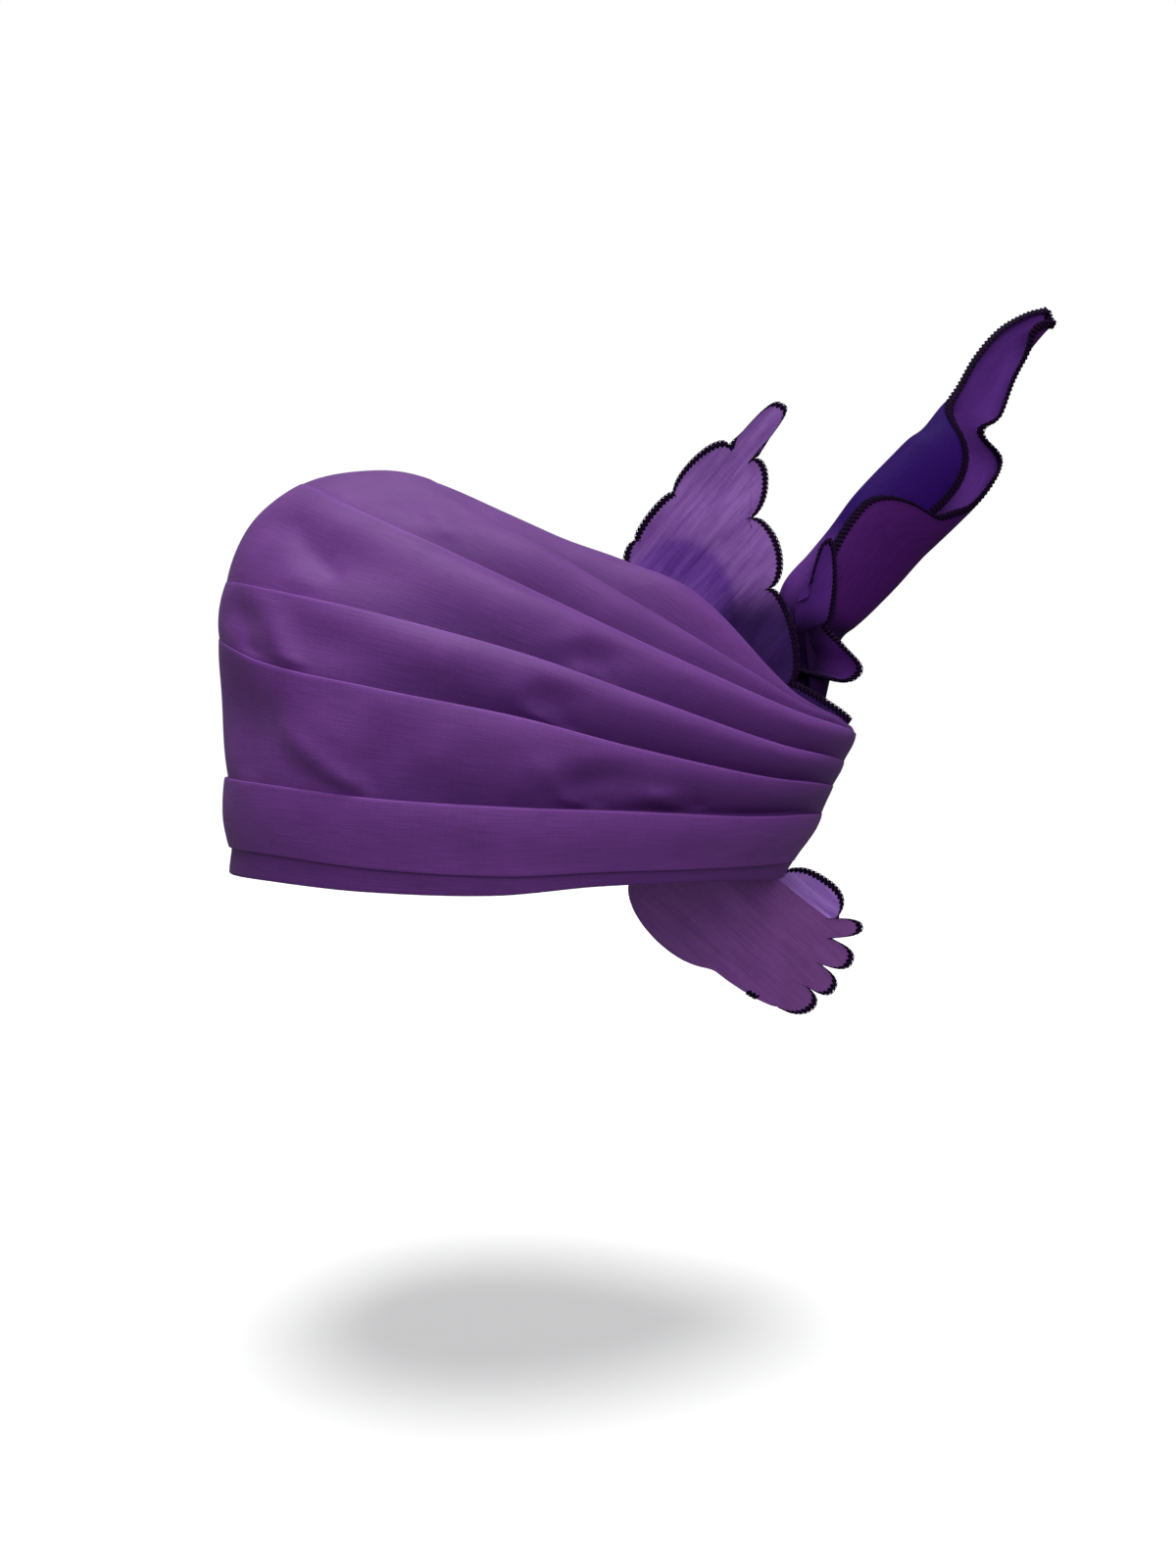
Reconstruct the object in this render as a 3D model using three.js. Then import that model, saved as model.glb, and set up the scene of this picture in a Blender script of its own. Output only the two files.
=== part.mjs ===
// Tied head tie of one stiff starched cotton cloth: pleated crown, brow band and three scalloped ends.
// Millimetres. +Z up, the brow toward -Y, the tied back toward +Y, the wearer's left side toward +X.
// The origin is the middle of the head opening, in the plane of the hem.

import * as THREE from 'three';

// Driving dimensions
const CLOTH = 1.2;
const GAP = 0.4;
const LAYER_STEP = CLOTH + GAP;
const LOOP_STEPS = 44;
const HALF_LOOP = LOOP_STEPS / 2;
const TUCK_RISE = 0.7;
const RIDGE_CLEARANCE = 2.3;
const RIDGE_DROP = 1.6;
const LEAST_LOBE = 0.4;

// Share of the run from front to back at which each fold's height is given
const STATIONS = [0, 0.12, 0.3, 0.5, 0.66, 0.86, 1];

// One row per fold line: a closed loop round the head, with its heights at the stations
const FOLDS = {
  hem: {
    frontY: -95, halfWidth: 82, sideY: 5, backY: 126.5, frontPower: 2.25, backPower: 1.8,
    heights: [3, 2.5, 0, -1, -1, 0, -2],
  },
  bandLow: {
    frontY: -95.2, halfWidth: 83.5, sideY: 6, backY: 131, frontPower: 2.25, backPower: 1.8,
    heights: [13, 12, 8, 5.5, 5, 6, 6],
  },
  bandTop: {
    frontY: -96.6, halfWidth: 86, sideY: 8, backY: 142, frontPower: 2.25, backPower: 1.8,
    heights: [39, 36, 31, 28, 26.5, 24, 24.5],
  },
  first: {
    frontY: -99, halfWidth: 86, sideY: 12, backY: 146.5, frontPower: 2.25, backPower: 1.8,
    heights: [94, 79.5, 68.5, 58.5, 48.5, 38.5, 35.5],
  },
  second: {
    frontY: -97, halfWidth: 80, sideY: 18, backY: 151, frontPower: 2.25, backPower: 1.8,
    heights: [115.5, 106, 94, 80, 66.5, 51, 45],
  },
  third: {
    frontY: -69, halfWidth: 64, sideY: 32, backY: 156, frontPower: 2.1, backPower: 1.8,
    heights: [156.5, 139.5, 119, 97.5, 81.5, 64, 56.5],
  },
  fourth: {
    frontY: -20, halfWidth: 42, sideY: 50, backY: 154.5, frontPower: 2, backPower: 1.8,
    heights: [160.5, 144.5, 123, 102, 86, 67, 59.5],
  },
  ridge: {
    frontY: -9, halfWidth: 19, sideY: 92, backY: 151, frontPower: 2, backPower: 1.9,
    heights: [156.5, 146.5, 132.5, 117.5, 104.5, 71, 62.5],
  },
};

// One row per pleated panel, from the brow up: belly is how far its middle stands out,
// as a share of its height
const PANELS = [
  { name: 'pleat_1', fold: 'first', belly: 0.03 },
  { name: 'pleat_2', fold: 'second', belly: 0.06 },
  { name: 'pleat_3', fold: 'third', belly: 0.12 },
  { name: 'pleat_4', fold: 'fourth', belly: 0.1 },
  { name: 'crown_fold', fold: 'ridge', belly: 0.04 },
];

// Soft dents and swells in the panels: turn runs round the loop, rise up the panel, depth inward
const DENTS = [
  { panel: 'pleat_1', turn: 0.1, rise: 0.55, turnWidth: 0.05, riseWidth: 0.4, depth: 5 },
  { panel: 'pleat_1', turn: 0.17, rise: 0.3, turnWidth: 0.03, riseWidth: 0.4, depth: -3 },
  { panel: 'pleat_1', turn: 0.29, rise: 0.45, turnWidth: 0.04, riseWidth: 0.35, depth: 3 },
  { panel: 'pleat_1', turn: 0.8, rise: 0.5, turnWidth: 0.06, riseWidth: 0.4, depth: 3 },
  { panel: 'pleat_2', turn: 0.27, rise: 0.5, turnWidth: 0.04, riseWidth: 0.35, depth: 2 },
  { panel: 'pleat_3', turn: 0.28, rise: 0.45, turnWidth: 0.05, riseWidth: 0.3, depth: 3 },
  { panel: 'pleat_3', turn: 0.72, rise: 0.5, turnWidth: 0.06, riseWidth: 0.3, depth: 3 },
  { panel: 'pleat_4', turn: 0.08, rise: 0.4, turnWidth: 0.05, riseWidth: 0.4, depth: 2.5 },
];

// Valleys where a panel dives behind the fold below it: share is how far up the panel a valley reaches
const VALLEYS = [
  { panel: 'pleat_1', turn: 0.33, turnWidth: 0.07, share: 0.45, depth: 4 },
  { panel: 'pleat_1', turn: 0.67, turnWidth: 0.07, share: 0.45, depth: 4 },
  { panel: 'pleat_2', turn: 0.3, turnWidth: 0.09, share: 0.5, depth: 4.5 },
  { panel: 'pleat_2', turn: 0.7, turnWidth: 0.09, share: 0.5, depth: 4.5 },
  { panel: 'pleat_3', turn: 0.28, turnWidth: 0.1, share: 0.5, depth: 5 },
  { panel: 'pleat_3', turn: 0.72, turnWidth: 0.1, share: 0.5, depth: 5 },
  { panel: 'pleat_4', turn: 0.27, turnWidth: 0.12, share: 0.5, depth: 6.5 },
  { panel: 'pleat_4', turn: 0.73, turnWidth: 0.12, share: 0.5, depth: 6.5 },
  { panel: 'crown_fold', turn: 0.27, turnWidth: 0.1, share: 0.5, depth: 3 },
  { panel: 'crown_fold', turn: 0.73, turnWidth: 0.1, share: 0.5, depth: 3 },
];

// Depth of the tuck between the two ridges, at the fold stations
const TUCK_DEPTHS = [3, 4, 8, 20, 32, 24, 8];

// Scalloped pieces: a line of feet, then lobes from a starting notch through each row's notch.
// bulge is how far a lobe stands out from its notches, lean how far its tip is pushed along them,
// and blunt below 1 squares the half ellipse of a lobe toward a finger.
const LEAF_LIFT = 2.4;
const LEAF = {
  feet: { front: { x: 1, y: 72 }, back: { x: 3, y: 139 } },
  start: { x: 1, y: 69, z: 112 },
  lobes: [
    { x: 2, y: 66.8, z: 135.7, bulge: 6, lean: 0, blunt: 1 },
    { x: 3, y: 81.9, z: 154.7, bulge: 2.5, lean: 0, blunt: 1 },
    { x: 2, y: 104.5, z: 173.7, bulge: 5.6, lean: 3, blunt: 1 },
    { x: 1, y: 113.6, z: 168.6, bulge: 25.5, lean: 5, blunt: 0.6 },
    { x: 4, y: 112.8, z: 144.4, bulge: 6.5, lean: -3, blunt: 1 },
    { x: 6, y: 120, z: 115.4, bulge: 7, lean: 0, blunt: 1 },
    { x: 6, y: 128.7, z: 77.4, bulge: 6, lean: 0, blunt: 1 },
    { x: 2.5, y: 145, z: 65, bulge: 1.5, lean: 0, blunt: 1 },
  ],
};
const RUFFLE = {
  feet: { front: { x: 2.5, y: 132.5, z: 110 }, back: { x: 2.3, y: 131.5, z: 83 } },
  start: { x: 3.3, y: 136.3, z: 111.9 },
  lobes: [
    { x: 3.7, y: 144.2, z: 101.6, bulge: 21.6, lean: -21.7, blunt: 0.8 },
    { x: 3.1, y: 134.3, z: 82.7, bulge: 20.2, lean: -0.8, blunt: 0.9 },
  ],
};
const NAPE = {
  feet: { front: { x: -3, y: 124.4, z: -2.3 }, back: { x: -58, y: 66, z: 2 } },
  start: { x: -2, y: 145.8, z: -18.8 },
  lobes: [
    { x: -2, y: 146.2, z: -26.8, bulge: 13, lean: 0, blunt: 0.75 },
    { x: -3, y: 142.2, z: -37.3, bulge: 11.5, lean: 0, blunt: 0.75 },
    { x: -3, y: 136.1, z: -46.2, bulge: 10.5, lean: 0, blunt: 0.75 },
    { x: -6, y: 124.8, z: -55.1, bulge: 9, lean: -3, blunt: 0.9 },
    { x: -18, y: 106.7, z: -46.6, bulge: 1, lean: 0, blunt: 1 },
    { x: -30, y: 94, z: -38.5, bulge: 1.5, lean: 0, blunt: 1 },
    { x: -45, y: 80, z: -28, bulge: 0.6, lean: 0, blunt: 1 },
    { x: -57, y: 66, z: -8, bulge: 0.6, lean: 0, blunt: 1 },
  ],
};
const NAPE_TURN = {
  feet: { front: { x: -3.7, y: 127.5, z: -3.4 }, back: { x: -3, y: 142.5, z: -15.2 } },
  start: { x: -7, y: 130.5, z: -0.5 },
  lobes: [{ x: -5, y: 147.5, z: -17, bulge: 7, lean: 0, blunt: 1 }],
};

// Stations of the curled end, foot to tip: centre, half width, and where its two borders lie on the curl.
// A border angle of 0 is the lower fold, 90 faces the wearer's left, 180 is the upper fold.
const CURL_FLATNESS = 0.5;
const CURL_SPREAD = 3.4;
const CURL_ROWS = [
  { x: -3, y: 136, z: 56.4, half: 4.5, from: 175, to: 450 },
  { x: -4, y: 139.5, z: 77, half: 7.5, from: 150, to: 450 },
  { x: -7, y: 142.4, z: 93.5, half: 13, from: 120, to: 450 },
  { x: -9, y: 145.5, z: 109, half: 17.6, from: 90, to: 452 },
  { x: -9, y: 151.3, z: 120, half: 18.4, from: 75, to: 460 },
  { x: -9, y: 160.7, z: 131.4, half: 19.6, from: 65, to: 483 },
  { x: -9, y: 170.5, z: 142.4, half: 20.6, from: 60, to: 484 },
  { x: -9, y: 178, z: 150.5, half: 20.8, from: 56, to: 450 },
  { x: -9, y: 186, z: 159.5, half: 20.7, from: 55, to: 402 },
  { x: -9, y: 192.5, z: 166.9, half: 20.2, from: 60, to: 364 },
  { x: -9, y: 197.5, z: 173.8, half: 18.6, from: 76, to: 356 },
  { x: -9, y: 201.4, z: 179.9, half: 16, from: 108, to: 350 },
  { x: -9, y: 204.5, z: 186, half: 12.4, from: 165, to: 338 },
  { x: -9, y: 209, z: 196, half: 10.4, from: 182, to: 352 },
  { x: -10, y: 215.7, z: 209.7, half: 9.2, from: 186, to: 345 },
  { x: -11, y: 224.3, z: 221.5, half: 7.6, from: 192, to: 338 },
  { x: -12, y: 234, z: 229.5, half: 5.2, from: 196, to: 335 },
  { x: -12.5, y: 241, z: 233, half: 3, from: 200, to: 330 },
];

// Small numeric helpers
const mix = (a, b, share) => a + (b - a) * share;
const degrees = THREE.MathUtils.degToRad;

// Smooth curve through values given at rising places
function throughStations(places, values, at) {
  const last = places.length - 1;
  let span = 0;
  while (span < last - 1 && at > places[span + 1]) {
    span += 1;
  }
  const slope = (index) => {
    const low = Math.max(index - 1, 0);
    const high = Math.min(index + 1, last);
    return (values[high] - values[low]) / (places[high] - places[low]);
  };
  const width = places[span + 1] - places[span];
  const t = (at - places[span]) / width;
  const startWeight = 2 * t ** 3 - 3 * t ** 2 + 1;
  const startSlope = (t ** 3 - 2 * t ** 2 + t) * width * slope(span);
  const endSlope = (t ** 3 - t ** 2) * width * slope(span + 1);
  return startWeight * values[span] + (1 - startWeight) * values[span + 1] + startSlope + endSlope;
}

// Point of a fold's loop: turn 0 is the brow, 0.25 the wearer's left, 0.5 the back
function foldPoint(fold, turn) {
  const angle = 2 * Math.PI * turn;
  const forward = Math.cos(angle);
  const sideways = Math.sin(angle);
  const power = 2 / (forward > 0 ? fold.frontPower : fold.backPower);
  const reach = forward > 0 ? fold.sideY - fold.frontY : fold.backY - fold.sideY;
  const x = fold.halfWidth * Math.sign(sideways) * Math.abs(sideways) ** power;
  const y = fold.sideY - reach * Math.sign(forward) * Math.abs(forward) ** power;
  const share = (y - fold.frontY) / (fold.backY - fold.frontY);
  return new THREE.Vector3(x, y, throughStations(STATIONS, fold.heights, share));
}

function foldLoop(name) {
  return Array.from({ length: LOOP_STEPS }, (_, i) => foldPoint(FOLDS[name], i / LOOP_STEPS));
}

// Inward depth of all dents of a panel at one place
function dentDepth(name, turn, rise) {
  const rows = DENTS.filter((row) => row.panel === name);
  return rows.reduce((sum, row) => {
    const across = (turn - row.turn) / row.turnWidth;
    const up = (rise - row.rise) / row.riseWidth;
    return sum + row.depth * Math.exp(-across * across - up * up);
  }, 0);
}

// Inward depth of a panel where it dives behind the fold below it
function valleyDepth(name, turn, rise) {
  const rows = VALLEYS.filter((row) => row.panel === name);
  return rows.reduce((sum, row) => {
    const across = (turn - row.turn) / row.turnWidth;
    const up = rise / row.share;
    return sum + row.depth * Math.exp(-across * across - up * up);
  }, 0);
}

// A panel's outer face between its foot loop and its fold, with its outward normals
function makePanel(name, foot, head, belly) {
  const straight = (i, rise) => {
    const index = (i + LOOP_STEPS) % LOOP_STEPS;
    return foot[index].clone().lerp(head[index], rise);
  };
  const normal = (i, rise) => {
    const along = straight(i + 1, rise).sub(straight(i - 1, rise));
    const up = head[i].clone().sub(foot[i]);
    return along.cross(up).normalize();
  };
  const point = (i, rise) => {
    const height = foot[i].distanceTo(head[i]);
    const arch = 4 * rise * (1 - rise);
    const turn = i / LOOP_STEPS;
    const out = arch * (belly * height - dentDepth(name, turn, rise)) - valleyDepth(name, turn, rise);
    return straight(i, rise).addScaledVector(normal(i, rise), out);
  };
  const inside = (i, rise, depth) => point(i, rise).addScaledVector(normal(i, rise), -depth);
  return { name, normal, point, inside };
}

// Closed wall between two grids of points; a ring's columns join end to end
function wallGeometry(outer, inner, isRing) {
  const columns = outer.length;
  const rows = outer[0].length;
  const positions = [];
  const indices = [];
  for (const grid of [outer, inner]) {
    for (const column of grid) {
      for (const p of column) {
        positions.push(p.x, p.y, p.z);
      }
    }
  }
  const outerAt = (c, r) => (c % columns) * rows + r;
  const innerAt = (c, r) => columns * rows + outerAt(c, r);
  const quad = (a, b, c, d) => indices.push(a, b, c, a, c, d);
  const spans = isRing ? columns : columns - 1;
  for (let c = 0; c < spans; c += 1) {
    for (let r = 0; r < rows - 1; r += 1) {
      quad(outerAt(c, r), outerAt(c + 1, r), outerAt(c + 1, r + 1), outerAt(c, r + 1));
      quad(innerAt(c, r), innerAt(c, r + 1), innerAt(c + 1, r + 1), innerAt(c + 1, r));
    }
    const top = rows - 1;
    quad(outerAt(c, 0), innerAt(c, 0), innerAt(c + 1, 0), outerAt(c + 1, 0));
    quad(outerAt(c, top), outerAt(c + 1, top), innerAt(c + 1, top), innerAt(c, top));
  }
  if (!isRing) {
    const end = columns - 1;
    for (let r = 0; r < rows - 1; r += 1) {
      quad(outerAt(0, r), outerAt(0, r + 1), innerAt(0, r + 1), innerAt(0, r));
      quad(outerAt(end, r), innerAt(end, r), innerAt(end, r + 1), outerAt(end, r + 1));
    }
  }
  const geometry = new THREE.BufferGeometry();
  geometry.setAttribute('position', new THREE.Float32BufferAttribute(positions, 3));
  geometry.setIndex(indices);
  geometry.computeVertexNormals();
  return geometry;
}

// Offsets a grid of points to its back by the cloth's thickness
function backOfGrid(grid) {
  const columns = grid.length;
  const rows = grid[0].length;
  return grid.map((column, c) => column.map((p, r) => {
    const next = grid[Math.min(c + 1, columns - 1)][r];
    const before = grid[Math.max(c - 1, 0)][r];
    const above = grid[c][Math.min(r + 1, rows - 1)];
    const below = grid[c][Math.max(r - 1, 0)];
    const normal = next.clone().sub(before).cross(above.clone().sub(below)).normalize();
    return p.clone().addScaledVector(normal, -CLOTH);
  }));
}

const cotton = new THREE.MeshStandardMaterial({ color: 0x6b3f86, roughness: 0.75, side: THREE.DoubleSide });
const headTie = new THREE.Group();
headTie.name = 'gele_head_tie';

function addPiece(name, geometry) {
  const mesh = new THREE.Mesh(geometry, cotton);
  mesh.name = name;
  headTie.add(mesh);
}

// Ring-shaped wall from rows of loops, each given as a panel, a rise and a depth inside its face
function addRing(name, rows) {
  const face = (extra) => Array.from({ length: LOOP_STEPS }, (_, i) =>
    rows.map((row) => row.panel.inside(i, row.rise, row.depth + extra)));
  addPiece(name, wallGeometry(face(0), face(CLOTH), true));
}

// Brow band, and the inner band that shows below it
const browBand = makePanel('brow_band', foldLoop('bandLow'), foldLoop('bandTop'), 0.05);
addRing('brow_band', [0, 0.35, 0.7, 1].map((rise) => ({ panel: browBand, rise, depth: 0 })));

const underBrow = foldLoop('bandLow').map((_, i) => browBand.inside(i, 0, LAYER_STEP));
const innerBand = makePanel('inner_band', foldLoop('hem'), underBrow, 0);
addRing('inner_band', [
  { panel: innerBand, rise: 0, depth: 0 },
  { panel: innerBand, rise: 1, depth: 0 },
  { panel: browBand, rise: 0.35, depth: LAYER_STEP },
]);

// Pleated panels: each is tucked behind the fold below it
let below = browBand;
for (const row of PANELS) {
  const foot = foldLoop('hem').map((_, i) => below.inside(i, 1, LAYER_STEP));
  const panel = makePanel(row.name, foot, foldLoop(row.fold), row.belly);
  const tucked = { panel: below, rise: TUCK_RISE, depth: LAYER_STEP };
  const visible = [0, 0.35, 0.7, 1].map((rise) => ({ panel, rise, depth: 0 }));
  addRing(row.name, [tucked, ...visible]);
  below = panel;
}

// Tuck between the ridges: a trough, deepest near the back
function tuckPoint(turn, across) {
  const edge = foldPoint(FOLDS.ridge, turn);
  const share = (edge.y - FOLDS.ridge.frontY) / (FOLDS.ridge.backY - FOLDS.ridge.frontY);
  const depth = throughStations(STATIONS, TUCK_DEPTHS, share);
  const half = edge.x - RIDGE_CLEARANCE;
  return new THREE.Vector3(half * across, edge.y, edge.z - RIDGE_DROP - depth * (1 - across * across));
}

const tuckTurns = Array.from({ length: HALF_LOOP - 4 }, (_, i) => (i + 2) / LOOP_STEPS);
const tuckAcross = [1, 0.72, 0.36, 0, -0.36, -0.72, -1];
const tuckGrid = tuckTurns.map((turn) => tuckAcross.map((across) => tuckPoint(turn, across)));
addPiece('crown_tuck', wallGeometry(tuckGrid, backOfGrid(tuckGrid), false));

// Height of the tuck's floor under a place, for what stands in it
function tuckHeight(x, y) {
  let low = 0;
  let high = 0.5;
  for (let step = 0; step < 40; step += 1) {
    const middle = (low + high) / 2;
    const isBefore = foldPoint(FOLDS.ridge, middle).y < y;
    low = isBefore ? middle : low;
    high = isBefore ? high : middle;
  }
  const half = foldPoint(FOLDS.ridge, low).x - RIDGE_CLEARANCE;
  return tuckPoint(low, x / half).z;
}

// Columns of a scalloped piece: its foot, the place between two notches, and the lobe's edge beyond it
function fanColumns(shape, foot, steps) {
  const total = shape.lobes.length * steps;
  const columns = [];
  let from = shape.start;
  shape.lobes.forEach((lobe, index) => {
    const chord = new THREE.Vector3(lobe.x - from.x, lobe.y - from.y, lobe.z - from.z);
    const along = new THREE.Vector3(0, chord.y, chord.z).normalize();
    const out = new THREE.Vector3(0, -along.z, along.y);
    const firstStep = index === 0 ? 0 : 1;
    for (let step = firstStep; step <= steps; step += 1) {
      const swing = Math.PI * step / steps;
      const height = Math.sin(swing) ** lobe.blunt;
      const turned = Math.sign(Math.cos(swing)) * Math.abs(Math.cos(swing)) ** lobe.blunt;
      const notch = new THREE.Vector3(from.x, from.y, from.z).addScaledVector(chord, (1 - turned) / 2);
      const edge = notch.clone().addScaledVector(out, Math.max(lobe.bulge * height, LEAST_LOBE));
      edge.addScaledVector(along, lobe.lean * height);
      columns.push({ foot: foot((index * steps + step) / total), notch, edge });
    }
    from = lobe;
  });
  return columns;
}

// Mean facing of a grid of points
function gridFacing(grid) {
  const facing = new THREE.Vector3();
  for (let c = 1; c < grid.length; c += 1) {
    for (let r = 1; r < grid[0].length; r += 1) {
      const rising = grid[c][r].clone().sub(grid[c - 1][r - 1]);
      const falling = grid[c - 1][r].clone().sub(grid[c][r - 1]);
      facing.add(rising.cross(falling));
    }
  }
  return facing.normalize();
}

// Fan-shaped sheet through the columns; bow bends it toward the wearer's left
function addFan(name, shape, foot, steps, rows, bow) {
  const grid = fanColumns(shape, foot, steps).map((column) => {
    const points = Array.from({ length: rows }, (_, r) => {
      const share = r / (rows - 1);
      const p = column.foot.clone().lerp(column.notch, share);
      p.x += bow * Math.sin(Math.PI * share);
      return p;
    });
    return [...points, column.edge];
  });
  const facing = gridFacing(grid);
  const back = grid.map((column) => column.map((p) => p.clone().addScaledVector(facing, -CLOTH)));
  addPiece(name, wallGeometry(grid, back, false));
}

function feetLine(feet) {
  const front = new THREE.Vector3(feet.front.x, feet.front.y, feet.front.z);
  const back = new THREE.Vector3(feet.back.x, feet.back.y, feet.back.z);
  return (share) => front.clone().lerp(back, share);
}

// Upright leaf, standing in the tuck
function leafFoot(share) {
  const x = mix(LEAF.feet.front.x, LEAF.feet.back.x, share);
  const y = mix(LEAF.feet.front.y, LEAF.feet.back.y, share);
  return new THREE.Vector3(x, y, tuckHeight(x, y) + LEAF_LIFT);
}
addFan('leaf_end', LEAF, leafFoot, 4, 4, 2);

// Curled end: a cone of cloth whose lower flap lies over its upper flap
const CURL_COLUMNS = 18;
function curlPoint(index, share, depth) {
  const row = CURL_ROWS[index];
  const before = CURL_ROWS[Math.max(index - 1, 0)];
  const after = CURL_ROWS[Math.min(index + 1, CURL_ROWS.length - 1)];
  const axis = new THREE.Vector3(0, after.y - before.y, after.z - before.z).normalize();
  const lower = new THREE.Vector3(0, axis.z, -axis.y);
  const angle = mix(row.from, row.to, share);
  const turn = degrees(angle);
  const spread = CURL_SPREAD * (angle - 270) / 360 - depth;
  const p = new THREE.Vector3(row.x, row.y, row.z);
  p.addScaledVector(lower, (row.half + spread) * Math.cos(turn));
  p.x += (row.half * CURL_FLATNESS + spread) * Math.sin(turn);
  return p;
}
function curlFace(depth) {
  return CURL_ROWS.map((_, index) => Array.from({ length: CURL_COLUMNS }, (__, c) =>
    curlPoint(index, c / (CURL_COLUMNS - 1), depth)));
}
addPiece('rolled_tail', wallGeometry(curlFace(0), curlFace(CLOTH), false));

// Ruffle at the foot of the curled end, nape tail and its turned-back lobe
addFan('tail_ruffle', RUFFLE, feetLine(RUFFLE.feet), 4, 2, 0);
addFan('nape_tail', NAPE, feetLine(NAPE.feet), 4, 3, 2);
addFan('nape_turn', NAPE_TURN, feetLine(NAPE_TURN.feet), 8, 2, 0);

export default headTie;
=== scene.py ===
"""Looks of the tied gele head tie: one starched, pleated cotton cloth with three scalloped ends.

Tables are in millimetres, in the part's own frame: +Z up, the brow toward -Y, the wearer's left toward +X.
"""

import math

import bpy
import numpy as np
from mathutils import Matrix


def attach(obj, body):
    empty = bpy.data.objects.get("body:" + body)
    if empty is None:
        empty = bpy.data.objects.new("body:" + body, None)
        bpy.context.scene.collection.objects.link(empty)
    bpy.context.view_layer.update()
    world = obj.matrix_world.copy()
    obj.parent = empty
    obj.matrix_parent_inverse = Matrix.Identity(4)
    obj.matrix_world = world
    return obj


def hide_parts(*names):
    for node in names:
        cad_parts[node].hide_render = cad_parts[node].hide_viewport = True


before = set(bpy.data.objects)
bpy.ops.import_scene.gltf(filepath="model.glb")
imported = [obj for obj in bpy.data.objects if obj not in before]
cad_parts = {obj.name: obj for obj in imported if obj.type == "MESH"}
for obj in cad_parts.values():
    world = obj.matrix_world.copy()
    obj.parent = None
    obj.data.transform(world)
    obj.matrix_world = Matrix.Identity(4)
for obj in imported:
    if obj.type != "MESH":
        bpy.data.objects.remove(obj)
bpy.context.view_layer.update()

# Driving dimensions
MM = 0.001
CM = 0.1
LOOP_STEPS = 400
FOLD_THICKNESS = 1.1
SOFT_FOLD_THICKNESS = 0.25
LAYER_GAP = 0.35
SOFT_LAYER_GAP = 0.05
TUCK_RISE = 0.7
RIM_STEPS = 4
RIDGE_OVERLAP = 2.0
RIDGE_DROP = 3.2
LEAST_LOBE = 0.05
SHEET_THICKNESS = 0.7
FLOOR_HEIGHT = -195.0

# Camera of the photograph's view, in metres, and the room round the part
CAMERA_PLACE = (0.480, 0.047, 0.0365)
CAMERA_LENS = 27.0
CAMERA_SENSOR = 36.0
FLOOR_RADIUS = 7
BACKDROP_RADIUS = 8
FLOOR_SHADE = 0.9
FLOOR_GLOW = 0.1
SKY_COLOUR = (0.95, 0.96, 1, 1)
AMBIENT = 0.2

# Lights: name, azimuth, elevation, spread, strength, glossy; azimuth 0 is the wearer's left and -90 the brow
LIGHTS = (
    ("key", 0, 83, 30, 2.5, True),
    ("fill", 8, 25, 60, 1.7, False),
    ("far_fill", 190, 25, 60, 1.1, False),
)

# Share of the run from front to back at which each fold's height is given
STATIONS = (0, 0.12, 0.3, 0.5, 0.66, 0.86, 1)

# Fold lines round the head: front y, half width, side y, back y, front power, back power,
# heights at the stations
FOLDS = {
    "hem": (-95, 82, 5, 126.5, 2.25, 1.8, (3, 2.5, 0, -1, 1.4, 1.4, -1)),
    "band_low": (-95.2, 83.5, 6, 131, 2.25, 1.8, (13, 12, 8, 5.5, 6.4, 6.2, 6)),
    "band_top": (-96.6, 86, 8, 142, 2.25, 1.8, (39, 36, 31, 28, 26.5, 24, 24.5)),
    "first": (-99, 86, 12, 146.5, 2.25, 1.8, (94, 79.5, 68.5, 58.5, 48.5, 38.5, 35.5)),
    "second": (-97, 80, 18, 151, 2.25, 1.8, (115.5, 106, 94, 80, 66.5, 51, 45)),
    "third": (-69, 64, 32, 156, 2.1, 1.8, (156.5, 139.5, 119, 97.5, 81.5, 64, 56.5)),
    "fourth": (-20, 42, 50, 154.5, 2, 1.8, (160.5, 144.5, 123, 102, 86, 67, 59.5)),
    "ridge": (-9, 19, 92, 151, 2, 1.9, (156.5, 146.5, 132.5, 117.5, 104.5, 71, 62.5)),
}

# Pleated panels from the brow up: name, fold at its head, belly at the brow and at the sides as a share
# of its height, and the turns between which its fold hardens from a soft crease to a crisp edge
PANELS = (
    ("pleat_1", "first", 0.03, 0.065, 0.04, 0.15),
    ("pleat_2", "second", 0.06, 0.12, 0.04, 0.15),
    ("pleat_3", "third", 0.12, 0.14, 0.04, 0.15),
    ("pleat_4", "fourth", 0.1, 0.18, 0.0, 0.06),
    ("crown_fold", "ridge", 0.04, 0.14, 0.0, 0.06),
)

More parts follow.
